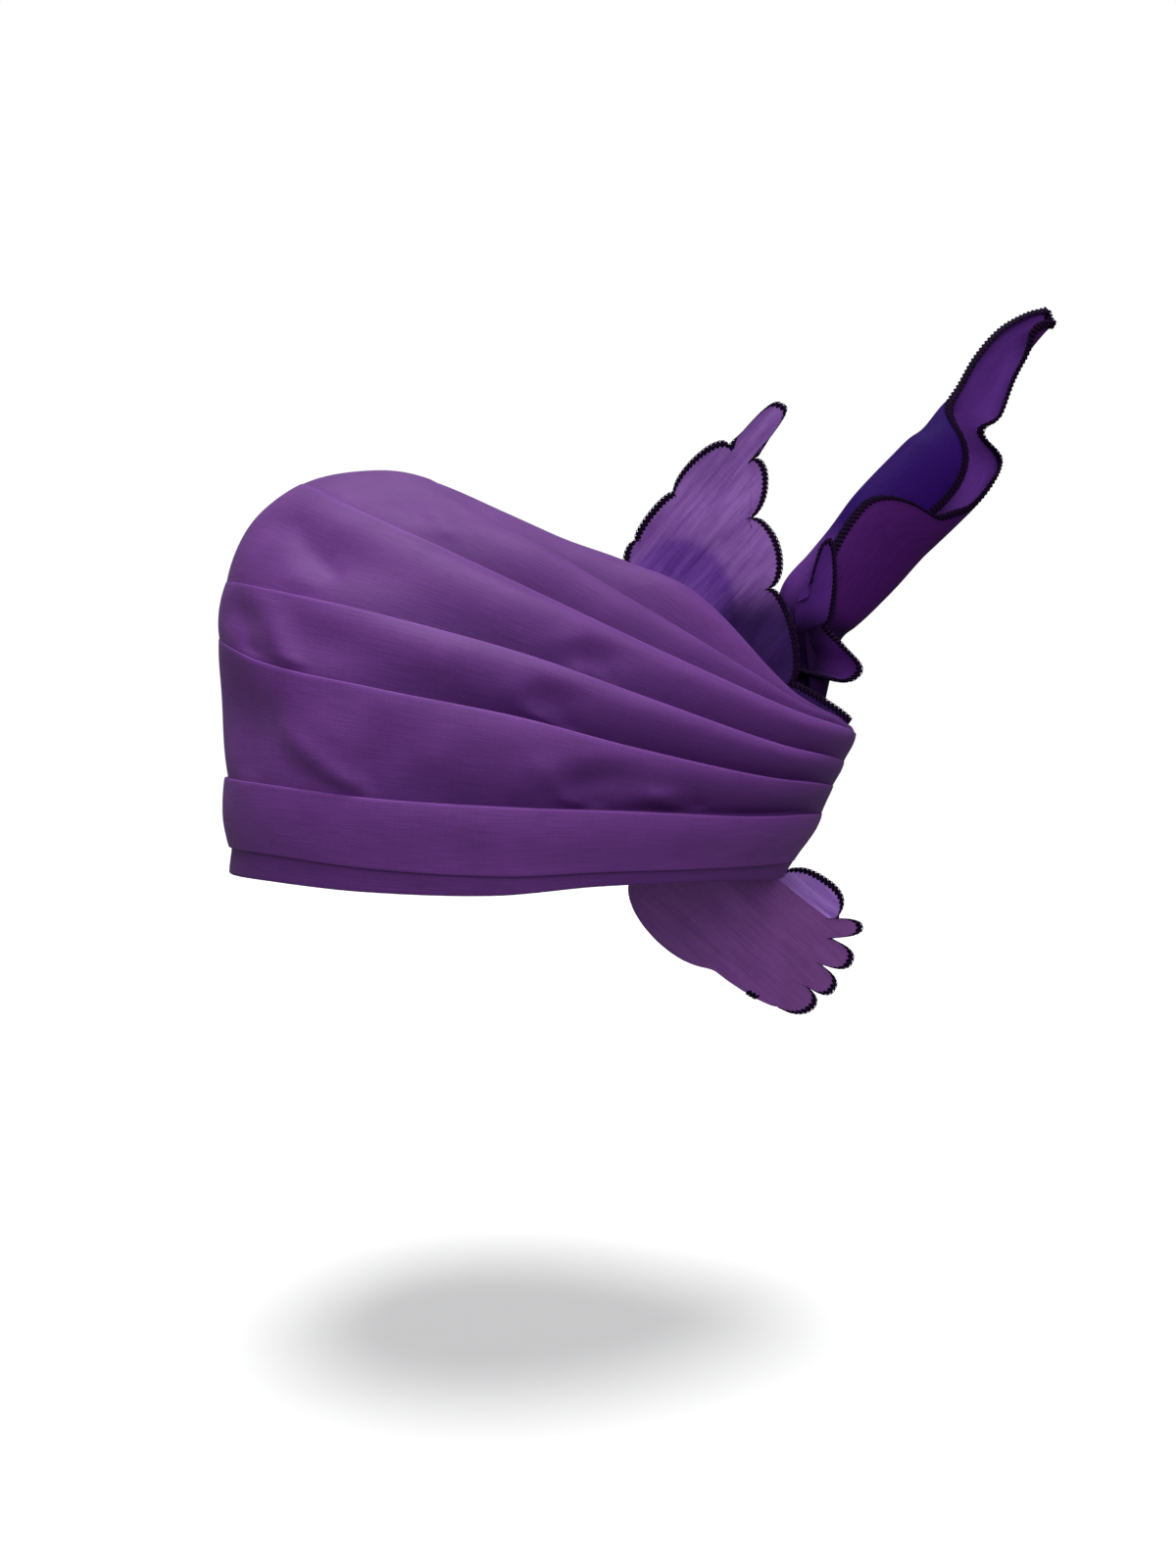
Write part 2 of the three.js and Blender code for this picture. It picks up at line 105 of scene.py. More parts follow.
# Soft dents and swells: panel, turn round the head, rise up the panel, their widths, depth inward, slant
DENTS = (
    ("pleat_1", 0.1, 0.55, 0.05, 0.4, 5, 0),
    ("pleat_1", 0.17, 0.45, 0.03, 0.3, -1.8, 0.02),
    ("pleat_1", 0.213, 0.55, 0.014, 0.4, 2.2, 0.02),
    ("pleat_1", 0.285, 0.4, 0.014, 0.3, -1.6, 0.03),
    ("pleat_1", 0.303, 0.4, 0.016, 0.3, 3.2, 0.03),
    ("pleat_1", 0.333, 0.25, 0.01, 0.2, -2.4, 0.02),
    ("pleat_1", 0.8, 0.5, 0.06, 0.4, 3, 0),
    ("pleat_1", 0.68, 0.4, 0.018, 0.3, 2.5, -0.03),
    ("pleat_2", 0.1, 0.55, 0.03, 0.3, 1.8, 0),
    ("pleat_2", 0.137, 0.5, 0.02, 0.3, -1.4, 0),
    ("pleat_2", 0.165, 0.45, 0.035, 0.4, 2.5, 0),
    ("pleat_2", 0.262, 0.35, 0.012, 0.3, -1.4, 0.02),
    ("pleat_2", 0.278, 0.45, 0.014, 0.3, 2.4, 0.02),
    ("pleat_2", 0.77, 0.45, 0.02, 0.3, 2, -0.02),
    ("pleat_3", 0.093, 0.6, 0.03, 0.2, 2.4, 0),
    ("pleat_3", 0.14, 0.5, 0.03, 0.3, 1.6, 0.03),
    ("pleat_3", 0.15, 0.4, 0.05, 0.35, 4, 0),
    ("pleat_3", 0.272, 0.35, 0.01, 0.2, -1.4, 0.02),
    ("pleat_3", 0.285, 0.4, 0.013, 0.25, 3, 0.02),
    ("pleat_3", 0.72, 0.5, 0.06, 0.3, 3, 0),
    ("pleat_4", 0.08, 0.4, 0.05, 0.4, 2.5, 0),
    ("pleat_4", 0.125, 0.5, 0.025, 0.3, 2.2, 0.02),
    ("pleat_4", 0.86, 0.5, 0.04, 0.4, 2.5, 0),
)

# Creases fade along their length, and out toward the foot and the head of their panel
CREASE_FADE = 0.7
CREASE_FOOT_RISE = 0.16
CREASE_HEAD_RISE = 1 / 6

# Creases: panel, turn and rise at the start and end, half width, height outward
CREASES = (
    ("pleat_1", 0.194, 0.08, 0.148, 0.5, 5, 3),
    ("pleat_1", 0.2, 0.14, 0.205, 0.73, 5, -1.56),
    ("pleat_1", 0.178, 0.05, 0.14, 0.26, 4, -0.8),
    ("pleat_1", 0.105, 0.07, 0.1, 0.75, 8, -1.2),
    ("pleat_1", 0.299, 0.03, 0.28, 0.5, 3.6, 2.2),
    ("pleat_1", 0.308, 0.05, 0.299, 0.5, 3.4, -1.32),
    ("pleat_1", 0.343, 0.11, 0.325, 0.42, 3, 1.08),
    ("pleat_1", 0.357, 0.2, 0.343, 0.6, 3, -1.08),
    ("pleat_1", 0.7, 0.05, 0.73, 0.6, 4, 1.2),
    ("pleat_1", 0.69, 0.05, 0.705, 0.6, 4, -1.2),
    ("pleat_1", 0.81, 0.05, 0.85, 0.6, 5, 1.32),
    ("pleat_2", 0.15, 0.02, 0.122, 0.85, 6, 2.2),
    ("pleat_2", 0.114, 0.02, 0.09, 0.8, 6, -1.2),
    ("pleat_2", 0.279, 0.03, 0.262, 0.35, 3, 1.8),
    ("pleat_2", 0.29, 0.15, 0.27, 0.7, 3, -1.2),
    ("pleat_2", 0.74, 0.05, 0.77, 0.6, 4, -0.96),
    ("pleat_3", 0.154, 0.32, 0.1, 0.63, 3.6, -1.2),
    ("pleat_3", 0.145, 0.1, 0.098, 0.42, 5, 0.84),
    ("pleat_3", 0.29, 0.03, 0.276, 0.5, 3, 1.8),
    ("pleat_3", 0.298, 0.2, 0.281, 0.7, 3.2, -1.44),
    ("pleat_3", 0.72, 0.05, 0.75, 0.7, 4, -1.2),
    ("pleat_4", 0.16, 0.27, 0.11, 0.52, 3.6, -1.2),
    ("pleat_4", 0.18, 0.24, 0.137, 0.6, 3.6, 0.9),
    ("pleat_4", 0.82, 0.25, 0.87, 0.55, 4, -1.2),
)

# Valleys where a panel dives behind the fold below it: panel, turn, turn width, depth
VALLEYS = (
    ("pleat_1", 0.36, 0.1, 4),
    ("pleat_1", 0.64, 0.1, 4),
    ("pleat_2", 0.31, 0.12, 5),
    ("pleat_2", 0.69, 0.12, 5),
    ("pleat_3", 0.3, 0.13, 6),
    ("pleat_3", 0.7, 0.13, 6),
    ("pleat_4", 0.29, 0.15, 10),
    ("pleat_4", 0.71, 0.15, 10),
    ("crown_fold", 0.28, 0.14, 4),
    ("crown_fold", 0.72, 0.14, 4),
)

# Depth of the tuck between the two ridges, at the fold stations
TUCK_DEPTHS = (3, 4, 8, 20, 32, 24, 8)

# Upright leaf: first and last foot as x, y; starting notch as y, z; lobes as notch y, z, bulge, lean, blunt
LEAF_LIFT = 2.4
LEAF_FEET = ((1, 72), (3, 139))
LEAF_START = (69, 112)
LEAF_LOBES = (
    (66.8, 135.7, 6, 0, 1),
    (81.9, 154.7, 2.5, 0, 1),
    (104.5, 173.7, 5.6, 3, 1),
    (113.6, 168.6, 25.5, 5, 0.6),
    (112.8, 144.4, 6.5, -3, 1),
    (120, 115.4, 8, 0, 1),
    (128.7, 77.4, 6, 0, 1),
    (153, 62, 1.5, 0, 1),
)

# Corner of the curled end: first and last foot, then the outline of its finger and its pocket as x, y, z
RUFFLE_FEET = ((1.5, 131.5, 110), (-3, 130.5, 83))
RUFFLE_OUTLINE = (
    (3.3, 136.3, 111.9),
    (3.8, 139.1, 123.8),
    (4, 142.1, 133),
    (4, 144.3, 135.4),
    (4, 146.3, 133),
    (4.6, 147.2, 119.9),
    (5, 145.6, 104.5),
    (3.5, 143.4, 101),
    (5.5, 150.2, 92.1),
    (6, 156.6, 84.8),
    (6, 156, 80.4),
    (5.5, 151, 78),
    (4, 142.3, 80.2),
    (2.5, 134.3, 82.7),
)

# Nape tail: feet and starting notch as y, z; lobes as notch y, z, bulge, lean, blunt; the last are plain
NAPE_FEET = ((124.4, -2.3), (66, 2))
NAPE_START = (145.8, -18.8)
NAPE_LOBES = (
    (146.2, -26.8, 13, 0, 0.75),
    (142.2, -37.3, 11.5, 0, 0.75),
    (136.1, -46.2, 10.5, 0, 0.75),
    (124.8, -55.1, 9, -3, 0.9),
    (100.2, -41.8, 2, 0, 1),
    (66, -8, 11, 0, 1),
)
NAPE_EDGED_LOBES = 4

# How the nape tail bends round to the wearer's right: y and x
NAPE_BEND = ((55, -65), (66, -57.5), (80, -45), (94, -30), (106.7, -17), (125, -4), (160, -2))

# Lobe of the nape tail that is turned back: the same with x, y, z
NAPE_TURN_FEET = ((-7, 122, -5.5), (-5, 146, -19.5))
NAPE_TURN_START = (-9, 124, -3.4)
NAPE_TURN_LOBES = ((-5, 149, -19.5, 12, 2, 0.8),)

# Curled end, foot to tip: centre x, y, z and half width
CURL_FLATNESS = 0.5
CURL_SPREAD = 3.4
CURL_ROWS = (
    (-3, 136, 56.4, 4.5),
    (-4, 137, 77, 8),
    (-7, 137.6, 97, 12.6),
    (-9, 142, 110.3, 17.4),
    (-9, 152, 121.4, 18),
    (-9, 161.2, 131.7, 18.6),
    (-9, 170.3, 143, 19.3),
    (-9, 178, 151, 19.7),
    (-9, 186.3, 159.2, 19.9),
    (-9, 193, 166, 19.9),
    (-9, 198.3, 171.9, 19.2),
    (-9, 202.2, 179.1, 17.4),
    (-9, 203.6, 188.8, 12),
    (-9, 209, 196, 10.6),
    (-10, 215.7, 209.7, 9.2),
    (-11, 224.3, 221.5, 7.6),
    (-12, 234, 229.5, 5.2),
    (-12.5, 241, 233, 3),
)

# Borders of the curl as row and angle: 0 is the lower fold, 90 faces the wearer's left,
# 180 is the upper fold
UPPER_BORDER = (
    (0, 175), (1, 150), (2, 120), (3, 90), (4, 75), (5, 65), (6, 60), (7, 56), (8, 55), (9, 60),
    (10, 74), (11, 98), (12, 132), (13, 158), (14, 160), (15, 160), (16, 165), (17, 170),
)
LOWER_BORDER = (
    (0, 450), (1, 450), (2, 460), (3, 470), (4, 480), (5, 490), (6, 488), (6.6, 472), (7, 450),
    (7.3, 420), (7.6, 410), (8, 402), (8.5, 390), (9, 384), (10, 382), (10.6, 368), (11.2, 345),
    (11.7, 322), (12.1, 324), (12.6, 350), (13, 370), (14, 384), (14.6, 384), (15, 400),
    (15.5, 430), (16, 432), (16.5, 410), (17, 370),
)

# Overlocked edging
BEAD_HALF_WIDTH = 1.35
WIDE_BEAD_HALF_WIDTH = 1.7
BEAD_HALF_HEIGHT = 0.75
BEAD_SIDES = 12
BEAD_INSET = 0.6
STITCH_PITCH = 1.9
STITCH_RELIEF = 0.26
STITCH_SLANT = 0.4
STEPS_PER_STITCH = 6
LEAST_STEPS = 8
THREAD_RADIUS = 0.22
THREAD_SIDES = 5
THREAD_SWING = 0.16
THREAD_RISE = 0.4
PATH_SOFT_STEPS = 5
FACING_SOFT_STEPS = 7

# Columns of a border at which its stitches start, and a short run on the plain edge of the nape tail
RUFFLE_FIRST_STITCH = 6
CURL_FIRST_STITCH = 38
NAPE_LONE_STITCHES = (8, 12)

# Waves in a ripple, and the shortest as a share of the longest
RIPPLE_WAVES = 7
RIPPLE_SHORTEST = 0.35


def through_stations(places, values, at):
    """Smooth curve through values given at rising places."""
    places = np.asarray(places, float)
    values = np.asarray(values, float)
    last = len(places) - 1
    order = np.arange(last + 1)
    low = np.maximum(order - 1, 0)
    high = np.minimum(order + 1, last)
    slopes = (values[high] - values[low]) / (places[high] - places[low])
    span = np.clip(np.searchsorted(places, at) - 1, 0, last - 1)
    width = places[span + 1] - places[span]
    t = (at - places[span]) / width
    start = 2 * t**3 - 3 * t**2 + 1
    value = start * values[span] + (1 - start) * values[span + 1]
    value = value + (t**3 - 2 * t**2 + t) * width * slopes[span]
    return value + (t**3 - t**2) * width * slopes[span + 1]


def unit(vectors):
    length = np.linalg.norm(vectors, axis=-1, keepdims=True)
    return vectors / np.maximum(length, 1e-9)


def smooth_step(low, high, at):
    t = np.clip((at - low) / (high - low), 0, 1)
    return t * t * (3 - 2 * t)


def shade_between(low, high, amount):
    """Tint that runs from one colour, or one per point, to another by an amount from 0 to 1."""
    return np.asarray(low) + (np.asarray(high) - np.asarray(low)) * amount[..., None]


def fold_points(name, turns):
    """Points of a fold's loop: turn 0 is the brow, 0.25 the wearer's left, 0.5 the back."""
    front_y, half_width, side_y, back_y, front_power, back_power, heights = FOLDS[name]
    forward = np.cos(2 * np.pi * turns)
    sideways = np.sin(2 * np.pi * turns)
    power = 2 / np.where(forward > 0, front_power, back_power)
    reach = np.where(forward > 0, side_y - front_y, back_y - side_y)
    x = half_width * np.sign(sideways) * np.abs(sideways) ** power
    y = side_y - reach * np.sign(forward) * np.abs(forward) ** power
    z = through_stations(STATIONS, heights, (y - front_y) / (back_y - front_y))
    return np.stack([x, y, z], axis=-1)


def ripple(u, v, seed, amount, longest):
    """Soft unevenness of a starched cloth: a seeded sum of long, faint waves."""
    draw = np.random.default_rng(seed)
    total = np.zeros(np.broadcast(u, v).shape)
    for _ in range(RIPPLE_WAVES):
        wave = longest * draw.uniform(RIPPLE_SHORTEST, 1)
        heading = draw.uniform(0, 2 * np.pi)
        phase = draw.uniform(0, 2 * np.pi)
        along = u * math.cos(heading) + v * math.sin(heading)
        total = total + np.sin(2 * np.pi * along / wave + phase) * wave / longest
    return amount * total / RIPPLE_WAVES


# Meshes
def make_object(name, points, faces, uvs, tints, materials, material_index=None):
    """Smooth mesh object from points in millimetres, faces, a UV per face corner and a tint per point."""
    mesh = bpy.data.meshes.new(name)
    mesh.from_pydata((np.asarray(points) * MM).tolist(), [], [list(face) for face in faces])
    layer = mesh.uv_layers.new(name="cloth")
    layer.uv.foreach_set("vector", np.asarray(uvs, np.float32).reshape(-1))
    colours = mesh.color_attributes.new("tint", "FLOAT_COLOR", "POINT")
    filled = np.ones((len(points), 4), np.float32)
    filled[:, :3] = tints
    colours.data.foreach_set("color", filled.reshape(-1))
    mesh.polygons.foreach_set("use_smooth", np.ones(len(mesh.polygons), bool))
    for material in materials:
        mesh.materials.append(material)
    if material_index is not None:
        mesh.polygons.foreach_set("material_index", np.asarray(material_index, np.int32))
    mesh.update()
    piece = bpy.data.objects.new(name, mesh)
    bpy.context.scene.collection.objects.link(piece)
    return piece


def grid_lengths(grid, axis):
    """Running length along one axis of a grid of points, averaged over the other."""
    steps = np.linalg.norm(np.diff(grid, axis=axis), axis=-1).mean(axis=1 - axis)
    return np.concatenate([[0], np.cumsum(steps)])


def tube_quads(columns, rows):
    """Quads of a torus of columns by rows, with its corner places for the UVs."""
    c, r = np.meshgrid(np.arange(columns), np.arange(rows), indexing="ij")
    corners = []
    places = []
    for step_c, step_r in ((0, 0), (1, 0), (1, 1), (0, 1)):
        corners.append((c + step_c) % columns * rows + (r + step_r) % rows)
        places.append(np.stack([c + step_c, r + step_r], axis=-1))
    quads = np.stack(corners, axis=-1).reshape(-1, 4)
    return quads, np.stack(places, axis=2).reshape(-1, 4, 2)


def ring_object(name, section, tints, material):
    """Closed ring wall from an array of columns by section points."""
    columns, rows, _ = section.shape
    quads, places = tube_quads(columns, rows)
    around = np.concatenate([section, section[:1]], axis=0)
    u = grid_lengths(around, 0)
    v = grid_lengths(np.concatenate([section, section[:, :1]], axis=1), 1)
    uvs = np.stack([u[places[..., 0]], v[places[..., 1]]], axis=-1) * CM
    return make_object(name, section.reshape(-1, 3), quads, uvs, tints.reshape(-1, 3), [material])


def grid_normals(grid):
    across = np.gradient(grid, axis=0)
    up = np.gradient(grid, axis=1)
    return unit(np.cross(across, up))


def sheet_object(name, grid, flat, tints, material):
    """Closed thin sheet with a grid of points as its outer face and their places in the flat cloth."""
    columns, rows, _ = grid.shape
    back = grid - grid_normals(grid) * SHEET_THICKNESS
    points = np.concatenate([grid.reshape(-1, 3), back.reshape(-1, 3)])
    offset = columns * rows
    at = np.arange(offset).reshape(columns, rows)
    front_quads = np.stack([at[:-1, :-1], at[1:, :-1], at[1:, 1:], at[:-1, 1:]], axis=-1).reshape(-1, 4)
    back_quads = front_quads[:, [0, 3, 2, 1]] + offset
    rim = np.concatenate([at[:, 0], at[-1, 1:], at[-2::-1, -1], at[0, -2:0:-1]])
    rim_next = np.roll(rim, -1)
    rim_quads = np.stack([rim, rim + offset, rim_next + offset, rim_next], axis=-1)
    quads = np.concatenate([front_quads, back_quads, rim_quads])
    flat = flat.reshape(-1, 2) * CM
    flat = np.concatenate([flat, flat])
    both = np.concatenate([tints.reshape(-1, 3), tints.reshape(-1, 3)])
    return make_object(name, points, quads, flat[quads], both, [material])


def unrolled(grid):
    """Places in the flat cloth by running lengths along the grid."""
    u = grid_lengths(grid, 0)
    v = grid_lengths(grid, 1)
    return np.stack(np.meshgrid(u, v, indexing="ij"), axis=-1)


def laid_flat(grid, along):
    """Places in the flat cloth of an upright sheet whose thread runs along a direction in y and z."""
    y, z = grid[..., 1], grid[..., 2]
    return np.stack([y * along[0] + z * along[1], z * along[0] - y * along[1]], axis=-1)


# Pleated crown
TURNS = np.arange(LOOP_STEPS) / LOOP_STEPS
FROM_BROW = np.minimum(TURNS, 1 - TURNS)
SIDE_SHARE = smooth_step(0.14, 0.24, FROM_BROW)
FLUSH_SHARE = smooth_step(0.42, 0.485, FROM_BROW)
VALLEY_SHARE = smooth_step(0.16, 0.25, FROM_BROW) * (1 - FLUSH_SHARE)
FLUSH_BELLY_LOSS = 0.7
BROW_BELLY = 0.05
BROW_SEED = 11
INNER_SEED = 12
FIRST_PANEL_SEED = 21
PANEL_RIPPLE = 0.5
PANEL_RIPPLE_LENGTH = 45

# Shares of a panel's height at which its face has points
VISIBLE_RISES = np.linspace(0, 1, 31)
TUCKED_RISES = np.linspace(TUCK_RISE, 1, 5)[:-1]
DIVE_SHARES = np.linspace(0, 1, 5)[:-1]
INNER_BAND_RISES = np.linspace(0, 1, 9)
INNER_TUCK_RISES = np.linspace(0, 0.35, 6)[1:]

# Tints of the folds: painted shade low in them, a painted highlight along their heads, and painted shade over
# the inner band
PLAIN = (1, 1, 1)
FOLD_HIGHLIGHT = 1.3
FOLD_PAINTED_SHADE = (0.6, 0.5, 0.68)
FOLD_SHADE_REACH = 13.0
INNER_BAND_PAINTED_SHADE = np.array((0.72, 0.66, 0.76))


def dent_depth(panel, rise):
    """Inward depth of all dents of a panel at one rise, round the loop."""
    depth = np.zeros(LOOP_STEPS)
    for name, turn, middle, turn_width, rise_width, deep, slant in DENTS:
        if name == panel:
            across = (TURNS - turn - slant * (rise - middle)) / turn_width
            up = (rise - middle) / rise_width
            depth += deep * np.exp(-across**2 - up**2)
    return depth


def crease_height(panel, rise, along, height):
    """Outward height of all creases of a panel at one rise, round the loop."""
    total = np.zeros(LOOP_STEPS)
    for name, turn, low, end_turn, high, half_width, tall in CREASES:
        if name == panel:
            start = np.interp(turn, TURNS, along)
            run = np.interp(end_turn, TURNS, along) - start
            climb = (high - low) * height
            right = along - start
            up = (rise - low) * height
            share = np.clip((right * run + up * climb) / (run**2 + climb**2), 0, 1)
            far = np.hypot(right - run * share, up - climb * share)
            total += tall * (1 - CREASE_FADE * share) * np.exp(-((far / half_width) ** 2))
    return total * smooth_step(0, CREASE_FOOT_RISE, rise)


def valley_depth(panel, rise):
    """Inward depth of a panel where it dives behind the fold below it."""
    depth = np.zeros(LOOP_STEPS)
    for name, turn, turn_width, deep in VALLEYS:
        if name == panel:
            depth += deep * (1 - rise) ** 2 * np.exp(-(((TURNS - turn) / turn_width) ** 2))
    return depth * VALLEY_SHARE


class Panel:
    """A panel's outer face between its foot loop and its fold."""

    def __init__(self, name, foot, head, belly, thickness, seed):
        self.name = name
        self.foot = foot
        self.head = head
        self.belly = belly
        self.thickness = thickness
        self.seed = seed
        self.height = np.linalg.norm(head - foot, axis=1)
        self.up = unit(head - foot)
        middle = (foot + head) / 2
        steps = np.linalg.norm(np.roll(middle, -1, axis=0) - middle, axis=1)
        self.along = np.concatenate([[0], np.cumsum(steps)[:-1]])

    def normal(self, rise):
        line = self.foot + (self.head - self.foot) * rise
        tangent = np.roll(line, -1, axis=0) - np.roll(line, 1, axis=0)
        return unit(np.cross(tangent, self.head - self.foot))

    def point(self, rise):
        """Points of the face at one rise: arched at the brow, rolled over toward the fold at the sides."""
        arch = 4 * rise * (1 - rise)
        rolled = 6.75 * rise**2 * (1 - rise)
        bulge = self.belly * (arch + (rolled - arch) * SIDE_SHARE)
        uneven = ripple(self.along, rise * self.height, self.seed, PANEL_RIPPLE, PANEL_RIPPLE_LENGTH)
        out = bulge * self.height + arch * (uneven - dent_depth(self.name, rise))
        out = out - valley_depth(self.name, rise)
        head_fade = min(1, (1 - rise) / CREASE_HEAD_RISE)
        out = out + head_fade * crease_height(self.name, rise, self.along, self.height)
        line = self.foot + (self.head - self.foot) * rise
        return line + self.normal(rise) * out[:, None]

    def inside(self, rise, depth):
        return self.point(rise) - self.normal(rise) * np.asarray(depth)[..., None]


def fold_rim(edge, normal, up, thickness):
    """Half round from an outer edge over to the inner face."""
    half = thickness[:, None] / 2
    centre = edge - normal * half
    turns = np.linspace(0, np.pi, RIM_STEPS + 2)[1:-1]
    return [centre + normal * half * math.cos(t) + up * half * math.sin(t) for t in turns]


def ring_section(face, normals, thickness, up_top, up_foot):
    """Closed section of a wall: outer face upward, rim, inner face downward, rim."""
    inner = [p - n * thickness[:, None] for p, n in zip(face, normals)]
    top = fold_rim(face[-1], normals[-1], up_top, thickness)
    foot = fold_rim(inner[0], -normals[0], -up_foot, thickness)
    return np.stack([*face, *top, *inner[::-1], *foot], axis=1)


def fold_tints(panel, tucked_rows, rows):
    """Tints of a ring's section points: painted shade low in the fold and over its tucked part, a painted
    highlight along its head.
    """
    tint = np.ones((LOOP_STEPS, rows, 3))
    for row, rise in enumerate(VISIBLE_RISES):
        # Painted shade low on the panel, where it dives behind the fold below
        low = np.exp(-((rise * panel.height / FOLD_SHADE_REACH) ** 2)) * SIDE_SHARE
        tint[:, tucked_rows + row] *= shade_between(PLAIN, FOLD_PAINTED_SHADE, low)
    # Painted shade over the part tucked behind the fold below
    tint[:, :tucked_rows] *= FOLD_PAINTED_SHADE
    head = tucked_rows + len(VISIBLE_RISES)
    # Painted highlight along the fold's rounded head
    tint[:, head - 1 : head + RIM_STEPS] *= FOLD_HIGHLIGHT
    return tint


def fold_wall(crisp):
    """Thickness of a fold and the gap behind it; near the tied back all folds lie flush."""
    share = crisp * (1 - FLUSH_SHARE)
    thickness = SOFT_FOLD_THICKNESS + (FOLD_THICKNESS - SOFT_FOLD_THICKNESS) * share
    return thickness, SOFT_LAYER_GAP + (LAYER_GAP - SOFT_LAYER_GAP) * share


def make_brow_band(material):
    """Wide plain band; returns its panel, the gap behind it and its object."""
    thickness, gap = fold_wall(1)
    low, top = fold_points("band_low", TURNS), fold_points("band_top", TURNS)
    brow = Panel("brow_band", low, top, BROW_BELLY, thickness, BROW_SEED)
    face = [brow.point(rise) for rise in VISIBLE_RISES]
    normals = [brow.normal(rise) for rise in VISIBLE_RISES]
    section = ring_section(face, normals, thickness, brow.up, brow.up)
    tints = fold_tints(brow, 0, section.shape[1])
    # The band's face keeps none of the painted shade; its head keeps the painted highlight
    tints[:, : len(face) - 1] = 1
    return brow, gap, ring_object("brow_band_cloth", section, tints, material)


def make_inner_band(brow, gap, material):
    """Lowest turn of cloth, from the hem up behind the brow band."""
    depth = brow.thickness + gap
    hem = fold_points("hem", TURNS)
    inner = Panel("inner_band", hem, brow.inside(0, depth), 0, brow.thickness, INNER_SEED)
    face = [inner.point(rise) for rise in INNER_BAND_RISES]
    face += [brow.inside(rise, depth) for rise in INNER_TUCK_RISES]
    normals = [inner.normal(rise) for rise in INNER_BAND_RISES]
    normals += [brow.normal(rise) for rise in INNER_TUCK_RISES]
    section = ring_section(face, normals, brow.thickness, brow.up, inner.up)
    # Painted shade: the inner band lies in the shadow of the brow band
    tints = INNER_BAND_PAINTED_SHADE * np.ones(section.shape)
    return ring_object("inner_band_cloth", section, tints, material)


def make_pleats(brow, gap, material):
    """Panels from the brow up, each with its foot behind the fold below it; returns the objects by name."""
    pleats = {}
    below = brow
    for order, (name, fold, brow_belly, side_belly, soft_turn, crisp_turn) in enumerate(PANELS):
        ledge = below.thickness + gap
        thickness, gap = fold_wall(smooth_step(soft_turn, crisp_turn, FROM_BROW))
        belly = brow_belly + (side_belly - brow_belly) * SIDE_SHARE
        belly = belly * (1 - FLUSH_BELLY_LOSS * FLUSH_SHARE)
        foot, head = below.inside(1, ledge), fold_points(fold, TURNS)
        panel = Panel(name, foot, head, belly, thickness, FIRST_PANEL_SEED + order)
        dive = valley_depth(name, 0)
        face = [below.inside(rise, ledge + dive * share) for rise, share in zip(TUCKED_RISES, DIVE_SHARES)]
        normals = [below.normal(rise) for rise in TUCKED_RISES]
        face += [panel.point(rise) for rise in VISIBLE_RISES]
        normals += [panel.normal(rise) for rise in VISIBLE_RISES]
        section = ring_section(face, normals, thickness, panel.up, below.up)
        tints = fold_tints(panel, len(TUCKED_RISES), section.shape[1])
        pleats[name] = ring_object(name + "_cloth", section, tints, material)
        below = panel
    return pleats


# Tuck between the ridges, with the turns round the ridge that it spans and that its floor is known for
TUCK_TURNS = np.linspace(0.008, 0.46, 100)
TUCK_FLOOR_TURNS = np.linspace(0.008, 0.47, 800)
TUCK_ACROSS = np.linspace(1, -1, 41)


def tuck_points(turns, across):
    """Points of the tuck: across is 1 under the ridge on the wearer's left and -1 under the other."""
    edge = fold_points("ridge", turns)
    front_y, back_y = FOLDS["ridge"][0], FOLDS["ridge"][3]
    depth = through_stations(STATIONS, TUCK_DEPTHS, (edge[..., 1] - front_y) / (back_y - front_y))
    half = edge[..., 0] + RIDGE_OVERLAP
    z = edge[..., 2] - RIDGE_DROP - depth * (1 - across**2)
    return np.stack([half * across, edge[..., 1], z], axis=-1)


def tuck_height(x, y):
    """Height of the tuck's floor under a place."""
    edge = fold_points("ridge", TUCK_FLOOR_TURNS)
    turn = np.interp(y, edge[:, 1], TUCK_FLOOR_TURNS)
    half = np.interp(y, edge[:, 1], edge[:, 0]) + RIDGE_OVERLAP
    return tuck_points(turn, x / half)[..., 2]


def make_tuck(material):
    """Cloth that closes the crown between the two ridges."""
    grid = tuck_points(*np.meshgrid(TUCK_TURNS, TUCK_ACROSS, indexing="ij"))
    return sheet_object("crown_tuck_cloth", grid, unrolled(grid), np.ones(grid.shape), material)


# Scalloped sheets
LOBE_STEPS = 26
LOBE_ROWS = 9
FAN_ROWS = 30
FAN_SOFT_STEPS = 41

# Leaf: its lean out of the middle plane, ripples as seed, amount and longest wave, and its tints, which are
# painted shade
LEAF_THREAD = (0.655, 0.756)
LEAF_STAND_OFF = 1.5
LEAF_LEAN = 4.5
LEAF_LEAN_Y = (95, 128)
LEAF_LEAN_Z = (165, 110)
LEAF_RIPPLE = (31, 2.2, 70)
LEAF_CRINKLE = (35, 0.9, 16)
LEAF_LAYER_CENTRE = (84, 106)
LEAF_LAYER_REACH = (23, 30)
LEAF_LAYER_EDGE = (1.07, 0.94)
LEAF_LAYER_PAINTED_SHADE = (0.6, 0.45, 0.8)
LEAF_HOLLOW_Y = (92, 108)
LEAF_HOLLOW_Z = (122, 102)
LEAF_HOLLOW_PAINTED_SHADE = (0.11, 0.045, 0.2)

# Ruffle: points per stretch of its outline, rows, and where its tints of painted shade change
RUFFLE_STEPS = 14
RUFFLE_ROWS = 20
FINGER_Z = (98, 112)
POCKET_Y = (138, 152)
POCKET_PAINTED_SHADE = (0.08, 0.06, 0.1)
POCKET_RIM_PAINTED_SHADE = (0.75, 0.6, 0.7)

